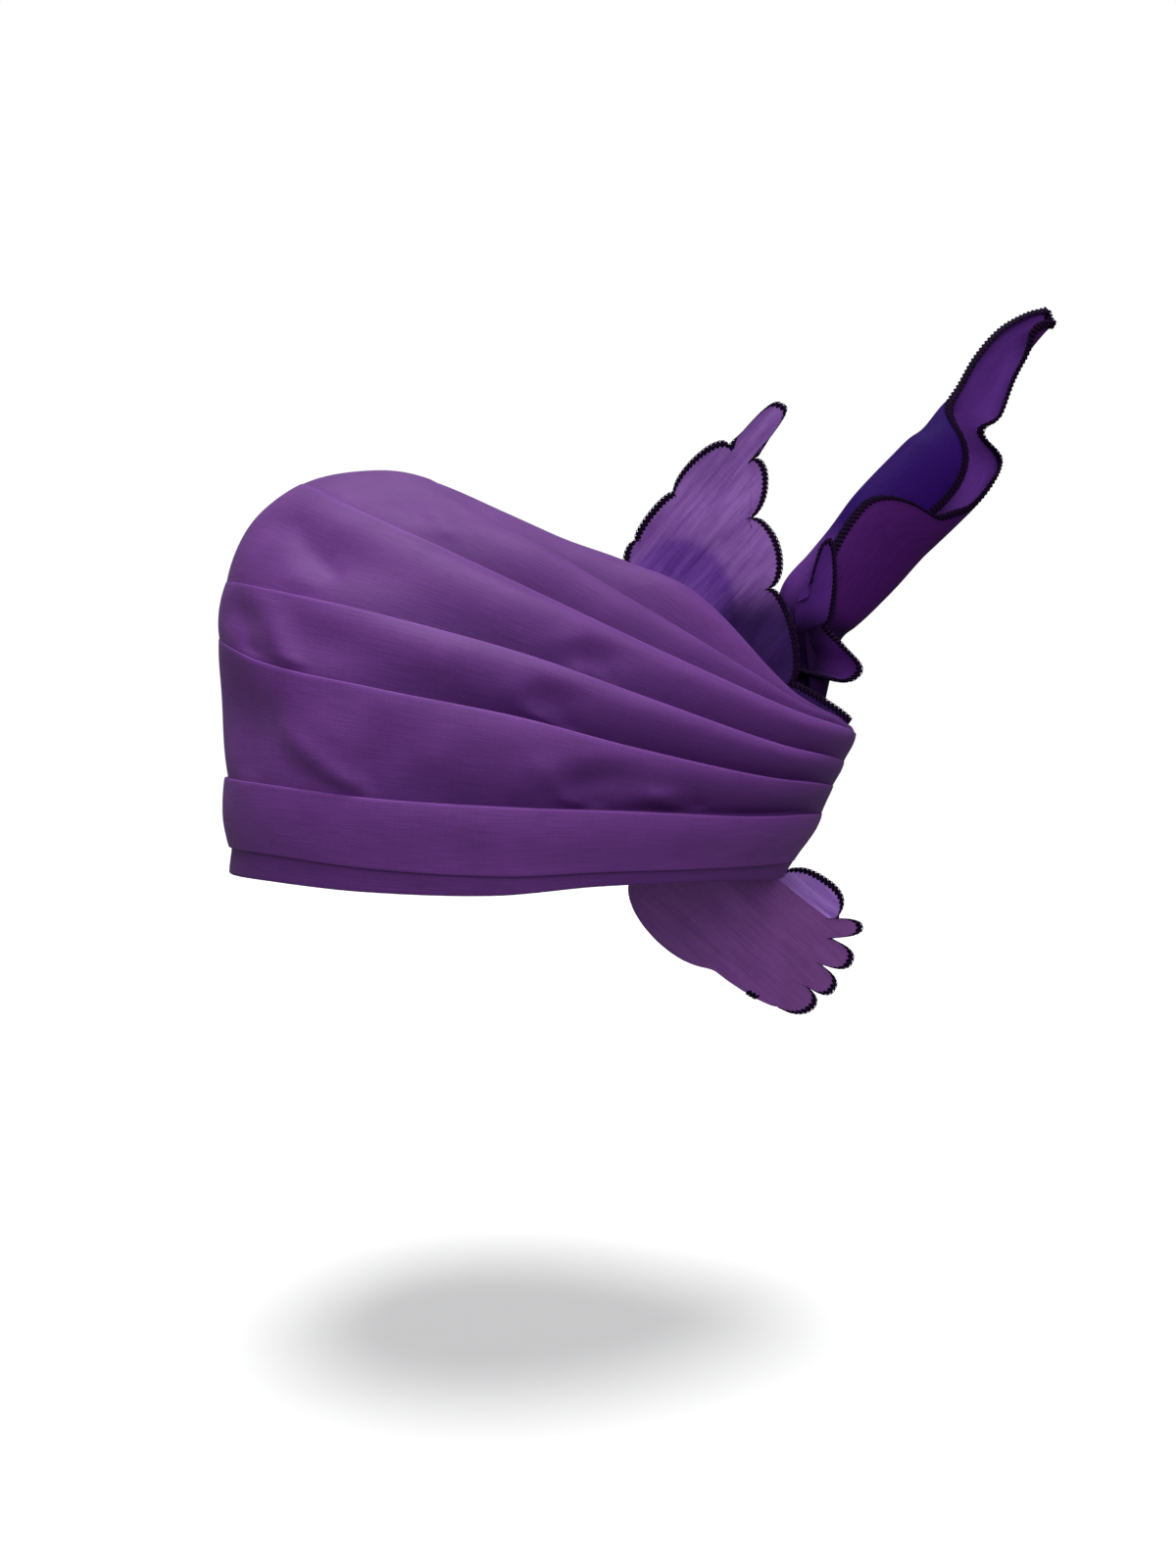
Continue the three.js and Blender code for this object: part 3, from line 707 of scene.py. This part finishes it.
# Nape tail and its turned lobe; painted light brightens the nape tail where it bends round under the crown's
# shadow
NAPE_THREAD = (0.75, -0.66)
NAPE_PLAIN_FROM = NAPE_EDGED_LOBES * LOBE_STEPS + 1
NAPE_SOFT_STEPS = 17
NAPE_RIPPLE = (33, 1.4, 45)
NAPE_PAINTED_LIGHT_Y = (134, 104)
NAPE_PAINTED_LIGHT = (1.7, 1.8, 1.75)
NAPE_TURN_ROWS = 12
NAPE_TURN_TINT = (1.35, 1.6, 1.4)


def upright(rows):
    """Rows of y, z and more, with a place for x in front, which is worked out later."""
    return [(0, *row) for row in rows]


def fan_columns(start, lobes):
    """Notch line and scalloped edge of a fan, with the share of the run at each column."""
    notches, edges, shares = [], [], []
    before = np.array(start, float)
    for index, (x, y, z, bulge, lean, blunt) in enumerate(lobes):
        after = np.array((x, y, z), float)
        chord = after - before
        along = unit(chord * (0, 1, 1))
        out = np.array((0, -along[2], along[1]))
        swing = np.pi * np.arange(1 if index else 0, LOBE_STEPS + 1) / LOBE_STEPS
        height = np.sin(swing).clip(0)[:, None] ** blunt
        turned = np.sign(np.cos(swing)) * np.abs(np.cos(swing)) ** blunt
        notch = before + chord * (1 - turned)[:, None] / 2
        notches.append(notch)
        edges.append(notch + out * np.maximum(bulge * height, LEAST_LOBE) + along * lean * height)
        shares.append((index + swing / np.pi) / len(lobes))
        before = after
    notches, edges = np.concatenate(notches), np.concatenate(edges)
    notches[:, 0] = soften(notches, FAN_SOFT_STEPS)[:, 0]
    edges[:, 0] = notches[:, 0]
    return notches, edges, np.concatenate(shares)


def soften(values, width):
    """Weighted running mean along a path, with its end values carried on past its ends."""
    kernel = np.hanning(width + 2)[1:-1]
    kernel = kernel / kernel.sum()
    padded = np.pad(values, ((width // 2, width // 2), (0, 0)), mode="edge")
    return np.stack([np.convolve(padded[:, k], kernel, mode="valid") for k in range(3)], axis=-1)


def fan_grid(feet, notches, edges, inner_rows=FAN_ROWS, lobe_rows=LOBE_ROWS):
    """Grid of a fan-shaped sheet: from its feet to the notch line and on to the scalloped edge."""
    share = np.linspace(0, 1, inner_rows)[None, :, None]
    body = feet[:, None] + (notches - feet)[:, None] * share
    share = np.linspace(0, 1, lobe_rows)[None, 1:, None]
    lobe = notches[:, None] + (edges - notches)[:, None] * share
    return np.concatenate([body, lobe], axis=1)


def feet_line(feet, shares):
    first, last = np.array(feet[0], float), np.array(feet[1], float)
    return first + (last - first) * shares[:, None]


def make_leaf(material):
    """Upright leaf, with painted shade over a patch where the cloth lies double and toward the hollow at its
    lower back corner.
    """
    notches, edges, shares = fan_columns((0, *LEAF_START), upright(LEAF_LOBES))
    foot_x, foot_y = feet_line(LEAF_FEET, shares).T
    feet = np.stack([foot_x, foot_y, tuck_height(foot_x, foot_y) + LEAF_LIFT], axis=-1)
    grid = fan_grid(feet, notches, edges)
    y, z = grid[..., 1], grid[..., 2]
    across = z * LEAF_THREAD[0] - y * LEAF_THREAD[1]
    grid[..., 0] = LEAF_STAND_OFF + LEAF_LEAN * smooth_step(*LEAF_LEAN_Y, y) * smooth_step(*LEAF_LEAN_Z, z)
    grid[..., 0] += ripple(y, z, *LEAF_RIPPLE) + ripple(across, y * 0, *LEAF_CRINKLE)
    centre_y, centre_z = LEAF_LAYER_CENTRE
    reach_y, reach_z = LEAF_LAYER_REACH
    layer = smooth_step(*LEAF_LAYER_EDGE, np.hypot((y - centre_y) / reach_y, (z - centre_z) / reach_z))
    # Painted shade over a rounded patch where the cloth lies double
    tints = shade_between(PLAIN, LEAF_LAYER_PAINTED_SHADE, layer)
    # Painted shade deepening toward the hollow at the leaf's lower back corner
    depth = smooth_step(*LEAF_HOLLOW_Z, z) * smooth_step(*LEAF_HOLLOW_Y, y)
    tints = tints * shade_between(PLAIN, LEAF_HOLLOW_PAINTED_SHADE, depth)
    return sheet_object("leaf_end_cloth", grid, laid_flat(grid, LEAF_THREAD), tints, material), grid


def make_ruffle(material):
    """Corner of the curl turned toward the leaf: an upright finger above a small pocket darkened with painted
    shade.
    """
    places = np.arange(len(RUFFLE_OUTLINE))
    at = np.linspace(0, places[-1], RUFFLE_STEPS * places[-1] + 1)
    outline = np.stack([through_stations(places, column, at) for column in zip(*RUFFLE_OUTLINE)], axis=-1)
    feet = feet_line(RUFFLE_FEET, at / places[-1])
    share = np.linspace(0, 1, RUFFLE_ROWS)[None, :, None]
    grid = feet[:, None] + (outline - feet)[:, None] * share
    y, z = grid[..., 1], grid[..., 2]
    # Painted shade, near black deep in the pocket and lighter toward its rim
    pocket = shade_between(POCKET_PAINTED_SHADE, POCKET_RIM_PAINTED_SHADE, smooth_step(*POCKET_Y, y))
    tints = shade_between(pocket, PLAIN, smooth_step(*FINGER_Z, z))
    return sheet_object("tail_ruffle_cloth", grid, laid_flat(grid, LEAF_THREAD), tints, material), grid


def make_nape_tail(material):
    """Hanging end: scalloped at the back, with a plain edge where it bends round behind the head."""
    notches, edges, shares = fan_columns((0, *NAPE_START), upright(NAPE_LOBES))
    edges[NAPE_PLAIN_FROM:] = soften(edges[NAPE_PLAIN_FROM:], NAPE_SOFT_STEPS)
    grid = fan_grid(feet_line(upright(NAPE_FEET), shares), notches, edges)
    y, z = grid[..., 1], grid[..., 2]
    grid[..., 0] = through_stations(*zip(*NAPE_BEND), y) + ripple(y, z, *NAPE_RIPPLE)
    # Painted light where the tail bends round in the crown's shadow
    tints = shade_between(PLAIN, NAPE_PAINTED_LIGHT, smooth_step(*NAPE_PAINTED_LIGHT_Y, y))
    return sheet_object("nape_tail_cloth", grid, laid_flat(grid, NAPE_THREAD), tints, material), grid


def make_nape_turn(material):
    """Lobe of the nape tail that is bent back under the hem."""
    notches, edges, shares = fan_columns(NAPE_TURN_START, NAPE_TURN_LOBES)
    feet = feet_line(NAPE_TURN_FEET, shares)
    grid = fan_grid(feet, notches, edges, NAPE_TURN_ROWS, NAPE_TURN_ROWS)
    tints = np.broadcast_to(NAPE_TURN_TINT, grid.shape)
    return sheet_object("nape_turn_cloth", grid, laid_flat(grid, NAPE_THREAD), tints, material), grid


# Curled end
CURL_STEPS = 190
CURL_COLUMNS = 120
CURL_STEADY_STEPS = 45
CURL_MIDDLE_ANGLE = 270
INDIGO_PAINTED_SHADE = (0.3, 0.1, 0.62)
PLUM_PAINTED_SHADE = (0.72, 0.4, 0.6)
PALE_PAINTED_LIGHT = (1.4, 1.6, 1.35)
ROOT = (1.35, 1.6, 1.2)
HOLLOW_PAINTED_SHADE = (0.2, 0.16, 0.25)

# Angles and rows between which the curl's painted shade and painted light change
PALE_ANGLES = (165, 200)
PLUM_ANGLES = (335, 375)
ROOT_ROWS = (5.4, 4.0)
ROOT_FIRST_ANGLES = (60, 110)
ROOT_LAST_ANGLES = (330, 200)
HOLLOW_ROWS = (2.2, 3.4)


def make_curl(material):
    """Cone of cloth whose lower flap lies over its upper flap; its tints are painted shade on the upper flap,
    the lower flap and the hollow at its foot, painted light on its inside, and paler near its root.
    """
    places = np.arange(len(CURL_ROWS))
    at = np.linspace(0, places[-1], CURL_STEPS)
    x, y, z, half = (through_stations(places, column, at) for column in zip(*CURL_ROWS))
    low = through_stations(*zip(*UPPER_BORDER), at)
    high = through_stations(*zip(*LOWER_BORDER), at)
    centre = np.stack([x, y, z], axis=-1)
    axis = unit(np.gradient(soften(centre, CURL_STEADY_STEPS), axis=0) * (0, 1, 1))
    lower = np.stack([np.zeros_like(x), axis[:, 2], -axis[:, 1]], axis=-1)
    share = np.linspace(0, 1, CURL_COLUMNS)[None, :]
    angle = low[:, None] + (high - low)[:, None] * share
    turn = np.radians(angle)
    spread = CURL_SPREAD * (angle - CURL_MIDDLE_ANGLE) / 360
    grid = centre[:, None] + lower[:, None] * ((half[:, None] + spread) * np.cos(turn))[..., None]
    grid[..., 0] += (half[:, None] * CURL_FLATNESS + spread) * np.sin(turn)
    # Painted shade on the upper flap, painted light on the inside
    tints = shade_between(INDIGO_PAINTED_SHADE, PALE_PAINTED_LIGHT, smooth_step(*PALE_ANGLES, angle))
    root = smooth_step(*ROOT_FIRST_ANGLES, angle) * smooth_step(*ROOT_LAST_ANGLES, angle)
    tints = shade_between(tints, ROOT, root * smooth_step(*ROOT_ROWS, at)[:, None])
    # Painted shade on the lower flap
    tints = shade_between(tints, PLUM_PAINTED_SHADE, smooth_step(*PLUM_ANGLES, angle))
    # Painted shade in the hollow at the curl's foot
    tints = tints * shade_between(HOLLOW_PAINTED_SHADE, PLAIN, smooth_step(*HOLLOW_ROWS, at))[:, None]
    return sheet_object("rolled_tail_cloth", grid, unrolled(grid), tints, material), grid


# Overlocked edging
def resample(path, others, step):
    """Evenly spaced points along a path, with other values carried along."""
    lengths = np.concatenate([[0], np.cumsum(np.linalg.norm(np.diff(path, axis=0), axis=1))])
    count = max(int(lengths[-1] / step), LEAST_STEPS)
    at = np.linspace(0, lengths[-1], count + 1)
    carried = []
    for values in (path, *others):
        carried.append(np.stack([np.interp(at, lengths, values[:, k]) for k in range(3)], axis=-1))
    return at, carried


def border(grid, side):
    """Path along one side of a grid with the sheet's normal and the way out of the sheet."""
    normals = grid_normals(grid)
    edge, inner, facing = {
        "last_row": (grid[:, -1], grid[:, -3], normals[:, -2]),
        "last_column": (grid[-1], grid[-3], normals[-2]),
        "first_row": (grid[:, 0], grid[:, 2], normals[:, 1]),
    }[side]
    return edge, facing, unit(edge - inner)


def part_of(edge, first, last):
    """Part of a border between two places along it."""
    return tuple(values[first:last] for values in edge)


def sweep(path, outs, normals, offsets):
    """Tube round a path: offsets are points by section by (out, normal)."""
    rings = path[:, None] + outs[:, None] * offsets[..., :1] + normals[:, None] * offsets[..., 1:]
    count, around, _ = rings.shape
    at = np.arange(count * around).reshape(count, around)
    turned = np.roll(at, -1, axis=1)
    quads = np.stack([at[:-1], at[1:], turned[1:], turned[:-1]], axis=-1).reshape(-1, 4)
    middles = rings[[0, -1]].mean(axis=1)
    points = np.concatenate([rings.reshape(-1, 3), middles])
    start, end = count * around, count * around + 1
    caps = [[start, at[0, k], turned[0, k]] for k in range(around)]
    caps += [[end, turned[-1, k], at[-1, k]] for k in range(around)]
    return points, quads.tolist() + caps


def make_edging(name, borders, materials, half_width=BEAD_HALF_WIDTH):
    """Overlocked bead and its loose looper thread along parts of a sheet's border."""
    points, faces, indices, stitches = [], [], [], []
    count = 0
    around = np.linspace(0, 2 * np.pi, BEAD_SIDES + 1)[:-1]
    ring = np.linspace(0, 2 * np.pi, THREAD_SIDES + 1)[:-1]
    circle = THREAD_RADIUS * np.stack([np.cos(ring), np.sin(ring)], axis=-1)
    for edge, facing, outward in borders:
        at, (path, normal, out) = resample(edge, [facing, outward], STITCH_PITCH / STEPS_PER_STITCH)
        path = soften(path, PATH_SOFT_STEPS)
        out = unit(soften(out, FACING_SOFT_STEPS))
        normal = unit(soften(normal, FACING_SOFT_STEPS))
        path = path - normal * SHEET_THICKNESS / 2 - out * half_width * BEAD_INSET
        slanted = at[:, None] / STITCH_PITCH + STITCH_SLANT * np.cos(around)
        swell = 1 + STITCH_RELIEF * np.cos(2 * np.pi * slanted)
        across = half_width * swell * np.cos(around)
        thick = BEAD_HALF_HEIGHT * swell * np.sin(around)
        bead = sweep(path, out, normal, np.stack([across, thick], axis=-1))
        weave = np.pi * at / STITCH_PITCH
        rim = path + out * (half_width * (1 + THREAD_SWING * np.cos(2 * weave)))[:, None]
        rim = rim + normal * (THREAD_RISE * np.sin(weave))[:, None]
        thread = sweep(rim, out, normal, np.broadcast_to(circle, (len(rim), THREAD_SIDES, 2)))
        ends = slanted[[0, -1], 0]
        stitches += [slanted.reshape(-1), ends, np.repeat(at / STITCH_PITCH, THREAD_SIDES), ends]
        for index, (part, part_faces) in enumerate((bead, thread)):
            points.append(part)
            faces += [[corner + count for corner in face] for face in part_faces]
            indices += [index] * len(part_faces)
            count += len(part)
    points = np.concatenate(points)
    along = np.concatenate(stitches)
    corners = along[np.concatenate(faces)]
    uvs = np.stack([corners, np.zeros_like(corners)], axis=-1)
    return make_object(name, points, faces, uvs, np.ones((len(points), 3)), materials, indices)


# Materials: noises of the cotton as stretch and detail, then shares, reliefs and finish
MOTTLE = ((0.5, 0.9, 1), 3.0)
SLUB = ((0.8, 16, 1), 5.0)
CROSS_SLUB = ((18, 1.2, 1), 4.0)
BRUSH_STROKES = ((0.3, 3.2, 1), 4.0)
SLUB_SHARE = 0.7
MOTTLE_SHARE = 0.35
DARK_FROM = 0.34
LIGHT_FROM = 0.68
WEAVE_SCALE = 7.0
WEAVE_WANDER = 0.6
WEAVE_RELIEF = 0.5
STREAK_RELIEF = 1.4
BUMP_STRENGTH = 0.5
BUMP_DISTANCE = 0.0002
COTTON_ROUGHNESS = 0.6
SHEEN_OF_GLOSS = 0.1
SHEEN_ROUGHNESS = 0.4
SHEEN_TINT = (0.7, 0.5, 0.9, 1)

# Thread: at this scale the wave texture repeats about once in one unit
STITCH_WAVE_SCALE = 1 / 3.2
THREAD_GAP_SHARE = 0.25
THREAD_ROUGHNESS = 0.75
THREAD_GLOSS = 0.06


def new_material(name):
    material = bpy.data.materials.new(name)
    material.use_nodes = True
    tree = material.node_tree
    shader = tree.nodes["Principled BSDF"]
    return material, tree, shader


def add_node(tree, kind, **inputs):
    node = tree.nodes.new(kind)
    for socket, value in inputs.items():
        node.inputs[socket.replace("_", " ")].default_value = value
    return node


def stretched_noise(tree, coordinates, stretch, detail):
    """Noise in the cloth's own coordinates, in centimetres, stretched along the thread."""
    mapping = add_node(tree, "ShaderNodeMapping", Scale=stretch)
    tree.links.new(coordinates.outputs["UV"], mapping.inputs["Vector"])
    noise = add_node(tree, "ShaderNodeTexNoise", Scale=1.0, Detail=detail)
    tree.links.new(mapping.outputs["Vector"], noise.inputs["Vector"])
    return noise.outputs["Fac"]


def band_wave(tree, coordinates, direction):
    """Wave across one set of threads of the weave."""
    wave = add_node(tree, "ShaderNodeTexWave", Scale=WEAVE_SCALE, Distortion=WEAVE_WANDER, Detail=1.0)
    wave.bands_direction = direction
    tree.links.new(coordinates.outputs["UV"], wave.inputs["Vector"])
    return wave.outputs["Fac"]


def math_node(tree, operation, first, second):
    node = tree.nodes.new("ShaderNodeMath")
    node.operation = operation
    for index, value in enumerate((first, second)):
        if isinstance(value, (int, float)):
            node.inputs[index].default_value = value
        else:
            tree.links.new(value, node.inputs[index])
    return node.outputs["Value"]


def weighted_sum(tree, parts):
    """Sum of sockets, each times its weight."""
    total = 0.0
    for socket, weight in parts:
        total = math_node(tree, "ADD", math_node(tree, "MULTIPLY", socket, weight), total)
    return total


def cotton_material(name, dark, light, brush=0.0, gloss=0.32):
    """Starched plain-weave cotton: slubs along both threads, soft mottling, fine weave, a low gloss."""
    material, tree, shader = new_material(name)
    coordinates = tree.nodes.new("ShaderNodeUVMap")
    coordinates.uv_map = "cloth"
    mottle = stretched_noise(tree, coordinates, *MOTTLE)
    slub = stretched_noise(tree, coordinates, *SLUB)
    cross_slub = stretched_noise(tree, coordinates, *CROSS_SLUB)
    streaks = weighted_sum(tree, ((slub, SLUB_SHARE), (cross_slub, 1 - SLUB_SHARE)))
    parts = [(mottle, MOTTLE_SHARE), (streaks, 1 - MOTTLE_SHARE)]
    if brush:
        strokes = stretched_noise(tree, coordinates, *BRUSH_STROKES)
        parts.append((math_node(tree, "SUBTRACT", strokes, 0.5), brush))
    ramp = tree.nodes.new("ShaderNodeValToRGB")
    ramp.color_ramp.elements[0].position = DARK_FROM
    ramp.color_ramp.elements[0].color = (*dark, 1)
    ramp.color_ramp.elements[1].position = LIGHT_FROM
    ramp.color_ramp.elements[1].color = (*light, 1)
    tree.links.new(weighted_sum(tree, parts), ramp.inputs["Fac"])
    tint = tree.nodes.new("ShaderNodeVertexColor")
    tint.layer_name = "tint"
    tinted = tree.nodes.new("ShaderNodeMix")
    tinted.data_type = "RGBA"
    tinted.blend_type = "MULTIPLY"
    tinted.inputs["Factor"].default_value = 1
    tree.links.new(ramp.outputs["Color"], tinted.inputs[6])
    tree.links.new(tint.outputs["Color"], tinted.inputs[7])
    tree.links.new(tinted.outputs[2], shader.inputs["Base Color"])
    threads = [band_wave(tree, coordinates, direction) for direction in ("X", "Y")]
    weave = math_node(tree, "MULTIPLY", *threads)
    bump = add_node(tree, "ShaderNodeBump", Strength=BUMP_STRENGTH, Distance=BUMP_DISTANCE)
    relief = weighted_sum(tree, ((weave, WEAVE_RELIEF), (streaks, STREAK_RELIEF)))
    tree.links.new(relief, bump.inputs["Height"])
    tree.links.new(bump.outputs["Normal"], shader.inputs["Normal"])
    shader.inputs["Roughness"].default_value = COTTON_ROUGHNESS
    shader.inputs["Specular IOR Level"].default_value = gloss
    shader.inputs["Sheen Weight"].default_value = SHEEN_OF_GLOSS * gloss
    shader.inputs["Sheen Roughness"].default_value = SHEEN_ROUGHNESS
    shader.inputs["Sheen Tint"].default_value = SHEEN_TINT
    return material


def thread_material(name, gap_shade, strand_colour):
    """Overlock thread: slanted strands with gaps between them darkened by painted shade; one unit of length
    is one stitch.
    """
    material, tree, shader = new_material(name)
    coordinates = tree.nodes.new("ShaderNodeUVMap")
    coordinates.uv_map = "cloth"
    wave = add_node(tree, "ShaderNodeTexWave", Scale=STITCH_WAVE_SCALE, Distortion=0.0)
    tree.links.new(coordinates.outputs["UV"], wave.inputs["Vector"])
    ramp = tree.nodes.new("ShaderNodeValToRGB")
    ramp.color_ramp.elements[0].position = THREAD_GAP_SHARE
    ramp.color_ramp.elements[0].color = (*gap_shade, 1)
    ramp.color_ramp.elements[1].color = (*strand_colour, 1)
    tree.links.new(wave.outputs["Fac"], ramp.inputs["Fac"])
    tree.links.new(ramp.outputs["Color"], shader.inputs["Base Color"])
    shader.inputs["Roughness"].default_value = THREAD_ROUGHNESS
    shader.inputs["Specular IOR Level"].default_value = THREAD_GLOSS
    return material


# Camera, lights and floor
def add_camera():
    data = bpy.data.cameras.new("photo_view")
    data.lens = CAMERA_LENS
    data.sensor_width = CAMERA_SENSOR
    camera = bpy.data.objects.new("photo_view", data)
    camera.location = CAMERA_PLACE
    camera.rotation_euler = (math.radians(90), 0, math.radians(90))
    bpy.context.scene.collection.objects.link(camera)
    bpy.context.scene.camera = camera


def add_sun(name, azimuth, elevation, spread, strength, glossy):
    """Soft light from far off."""
    data = bpy.data.lights.new(name, "SUN")
    data.energy = strength
    data.angle = math.radians(spread)
    light = bpy.data.objects.new(name, data)
    light.visible_glossy = glossy
    light.rotation_euler = (0, math.radians(90 - elevation), math.radians(azimuth))
    bpy.context.scene.collection.objects.link(light)


def hide_from_bounces(stage):
    """Keeps a stage object from lighting the cloth."""
    stage.visible_diffuse = False
    stage.visible_glossy = False
    stage.visible_transmission = False
    stage.visible_shadow = False


def add_studio():
    scene = bpy.context.scene
    scene.view_settings.view_transform = "Standard"
    world = bpy.data.worlds.new("studio")
    scene.world = world
    world.use_nodes = True
    background = world.node_tree.nodes["Background"]
    background.inputs["Color"].default_value = SKY_COLOUR
    background.inputs["Strength"].default_value = AMBIENT
    for light in LIGHTS:
        add_sun(*light)

    middle = (0, 0, FLOOR_HEIGHT * MM)
    bpy.ops.mesh.primitive_circle_add(vertices=96, radius=FLOOR_RADIUS, fill_type="NGON", location=middle)
    floor = bpy.context.object
    floor.name = "floor"
    material, _, shader = new_material("pale_floor")
    shader.inputs["Base Color"].default_value = (FLOOR_SHADE, FLOOR_SHADE, FLOOR_SHADE, 1)
    shader.inputs["Roughness"].default_value = 0.9
    shader.inputs["Emission Color"].default_value = (1, 1, 1, 1)
    shader.inputs["Emission Strength"].default_value = FLOOR_GLOW
    floor.data.materials.append(material)
    hide_from_bounces(floor)

    bpy.ops.mesh.primitive_uv_sphere_add(segments=48, ring_count=24, radius=BACKDROP_RADIUS)
    backdrop = bpy.context.object
    backdrop.name = "backdrop"
    material, _, shader = new_material("white_backdrop")
    shader.inputs["Base Color"].default_value = (0, 0, 0, 1)
    shader.inputs["Specular IOR Level"].default_value = 0
    shader.inputs["Emission Color"].default_value = (1, 1, 1, 1)
    shader.inputs["Emission Strength"].default_value = 1
    backdrop.data.materials.append(material)
    hide_from_bounces(backdrop)


add_camera()
add_studio()

# Lit and shaded copies of one cotton: painted light makes the leaf's and the nape's paler and painted shade
# makes the tail's darker
crown_cotton = cotton_material("cotton_crown", (0.108, 0.027, 0.178), (0.158, 0.042, 0.25))
lit_leaf_cotton = cotton_material("cotton_leaf_lit", (0.16, 0.055, 0.28), (0.28, 0.125, 0.43), brush=0.8, gloss=0.2)
shaded_tail_cotton = cotton_material("cotton_tail_shaded", (0.06, 0.012, 0.14), (0.09, 0.02, 0.2), gloss=0.08)
lit_nape_cotton = cotton_material("cotton_nape_lit", (0.135, 0.041, 0.19), (0.2, 0.067, 0.27), brush=0.4)
# Thread colours: painted shade in the gaps between strands, then the strands' own colour
edge_thread = thread_material("edge_thread", (0.003, 0.001, 0.006), (0.018, 0.005, 0.032))
loose_thread = thread_material("loose_thread", (0.012, 0.004, 0.022), (0.04, 0.013, 0.07))
threads = [edge_thread, loose_thread]

brow, brow_gap, brow_band = make_brow_band(crown_cotton)
pieces = {"brow_band": brow_band, "inner_band": make_inner_band(brow, brow_gap, crown_cotton)}
pieces.update(make_pleats(brow, brow_gap, crown_cotton))
pieces["crown_tuck"] = make_tuck(crown_cotton)
leaf, leaf_grid = make_leaf(lit_leaf_cotton)
curl, curl_grid = make_curl(shaded_tail_cotton)
ruffle, ruffle_grid = make_ruffle(shaded_tail_cotton)
nape_tail, nape_grid = make_nape_tail(lit_nape_cotton)
nape_turn, turn_grid = make_nape_turn(lit_leaf_cotton)

nape_border = border(nape_grid, "last_row")
lone_stitches = [NAPE_PLAIN_FROM + column for column in NAPE_LONE_STITCHES]
edged_nape = [part_of(nape_border, 0, NAPE_PLAIN_FROM), part_of(nape_border, *lone_stitches)]
edged_ruffle = part_of(border(ruffle_grid, "last_row"), RUFFLE_FIRST_STITCH, None)
edged_curl = [part_of(border(curl_grid, side), CURL_FIRST_STITCH, None) for side in ("first_row", "last_row")]
edged_curl.append(border(curl_grid, "last_column"))
edgings = {
    "leaf_end": make_edging("leaf_end_edging", [border(leaf_grid, "last_row")], threads),
    "rolled_tail": make_edging("rolled_tail_edging", edged_curl, threads, WIDE_BEAD_HALF_WIDTH),
    "tail_ruffle": make_edging("tail_ruffle_edging", [edged_ruffle], threads),
    "nape_tail": make_edging("nape_tail_edging", edged_nape, threads),
    "nape_turn": make_edging("nape_turn_edging", [border(turn_grid, "last_row")], threads),
}

pieces.update(leaf_end=leaf, rolled_tail=curl, tail_ruffle=ruffle, nape_tail=nape_tail, nape_turn=nape_turn)

# Flat sizes in metres: node, width, length, flat area
SHEETS = (
    ("inner_band", 0.023, 0.66, 0.0125),
    ("brow_band", 0.028, 0.66, 0.0158),
    ("pleat_1", 0.06, 0.66, 0.027),
    ("pleat_2", 0.05, 0.66, 0.021),
    ("pleat_3", 0.07, 0.64, 0.026),
    ("pleat_4", 0.07, 0.58, 0.022),
    ("crown_fold", 0.06, 0.46, 0.016),
    ("crown_tuck", 0.07, 0.17, 0.0085),
    ("leaf_end", 0.09, 0.14, 0.007),
    ("rolled_tail", 0.13, 0.21, 0.0135),
    ("tail_ruffle", 0.03, 0.06, 0.0009),
    ("nape_tail", 0.08, 0.1, 0.0045),
    ("nape_turn", 0.018, 0.036, 0.0004),
)
for node, width, length, area in SHEETS:
    piece = pieces[node]
    edging = edgings.get(node)
    for part in filter(None, (piece, edging)):
        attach(part, "root")
    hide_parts(node)
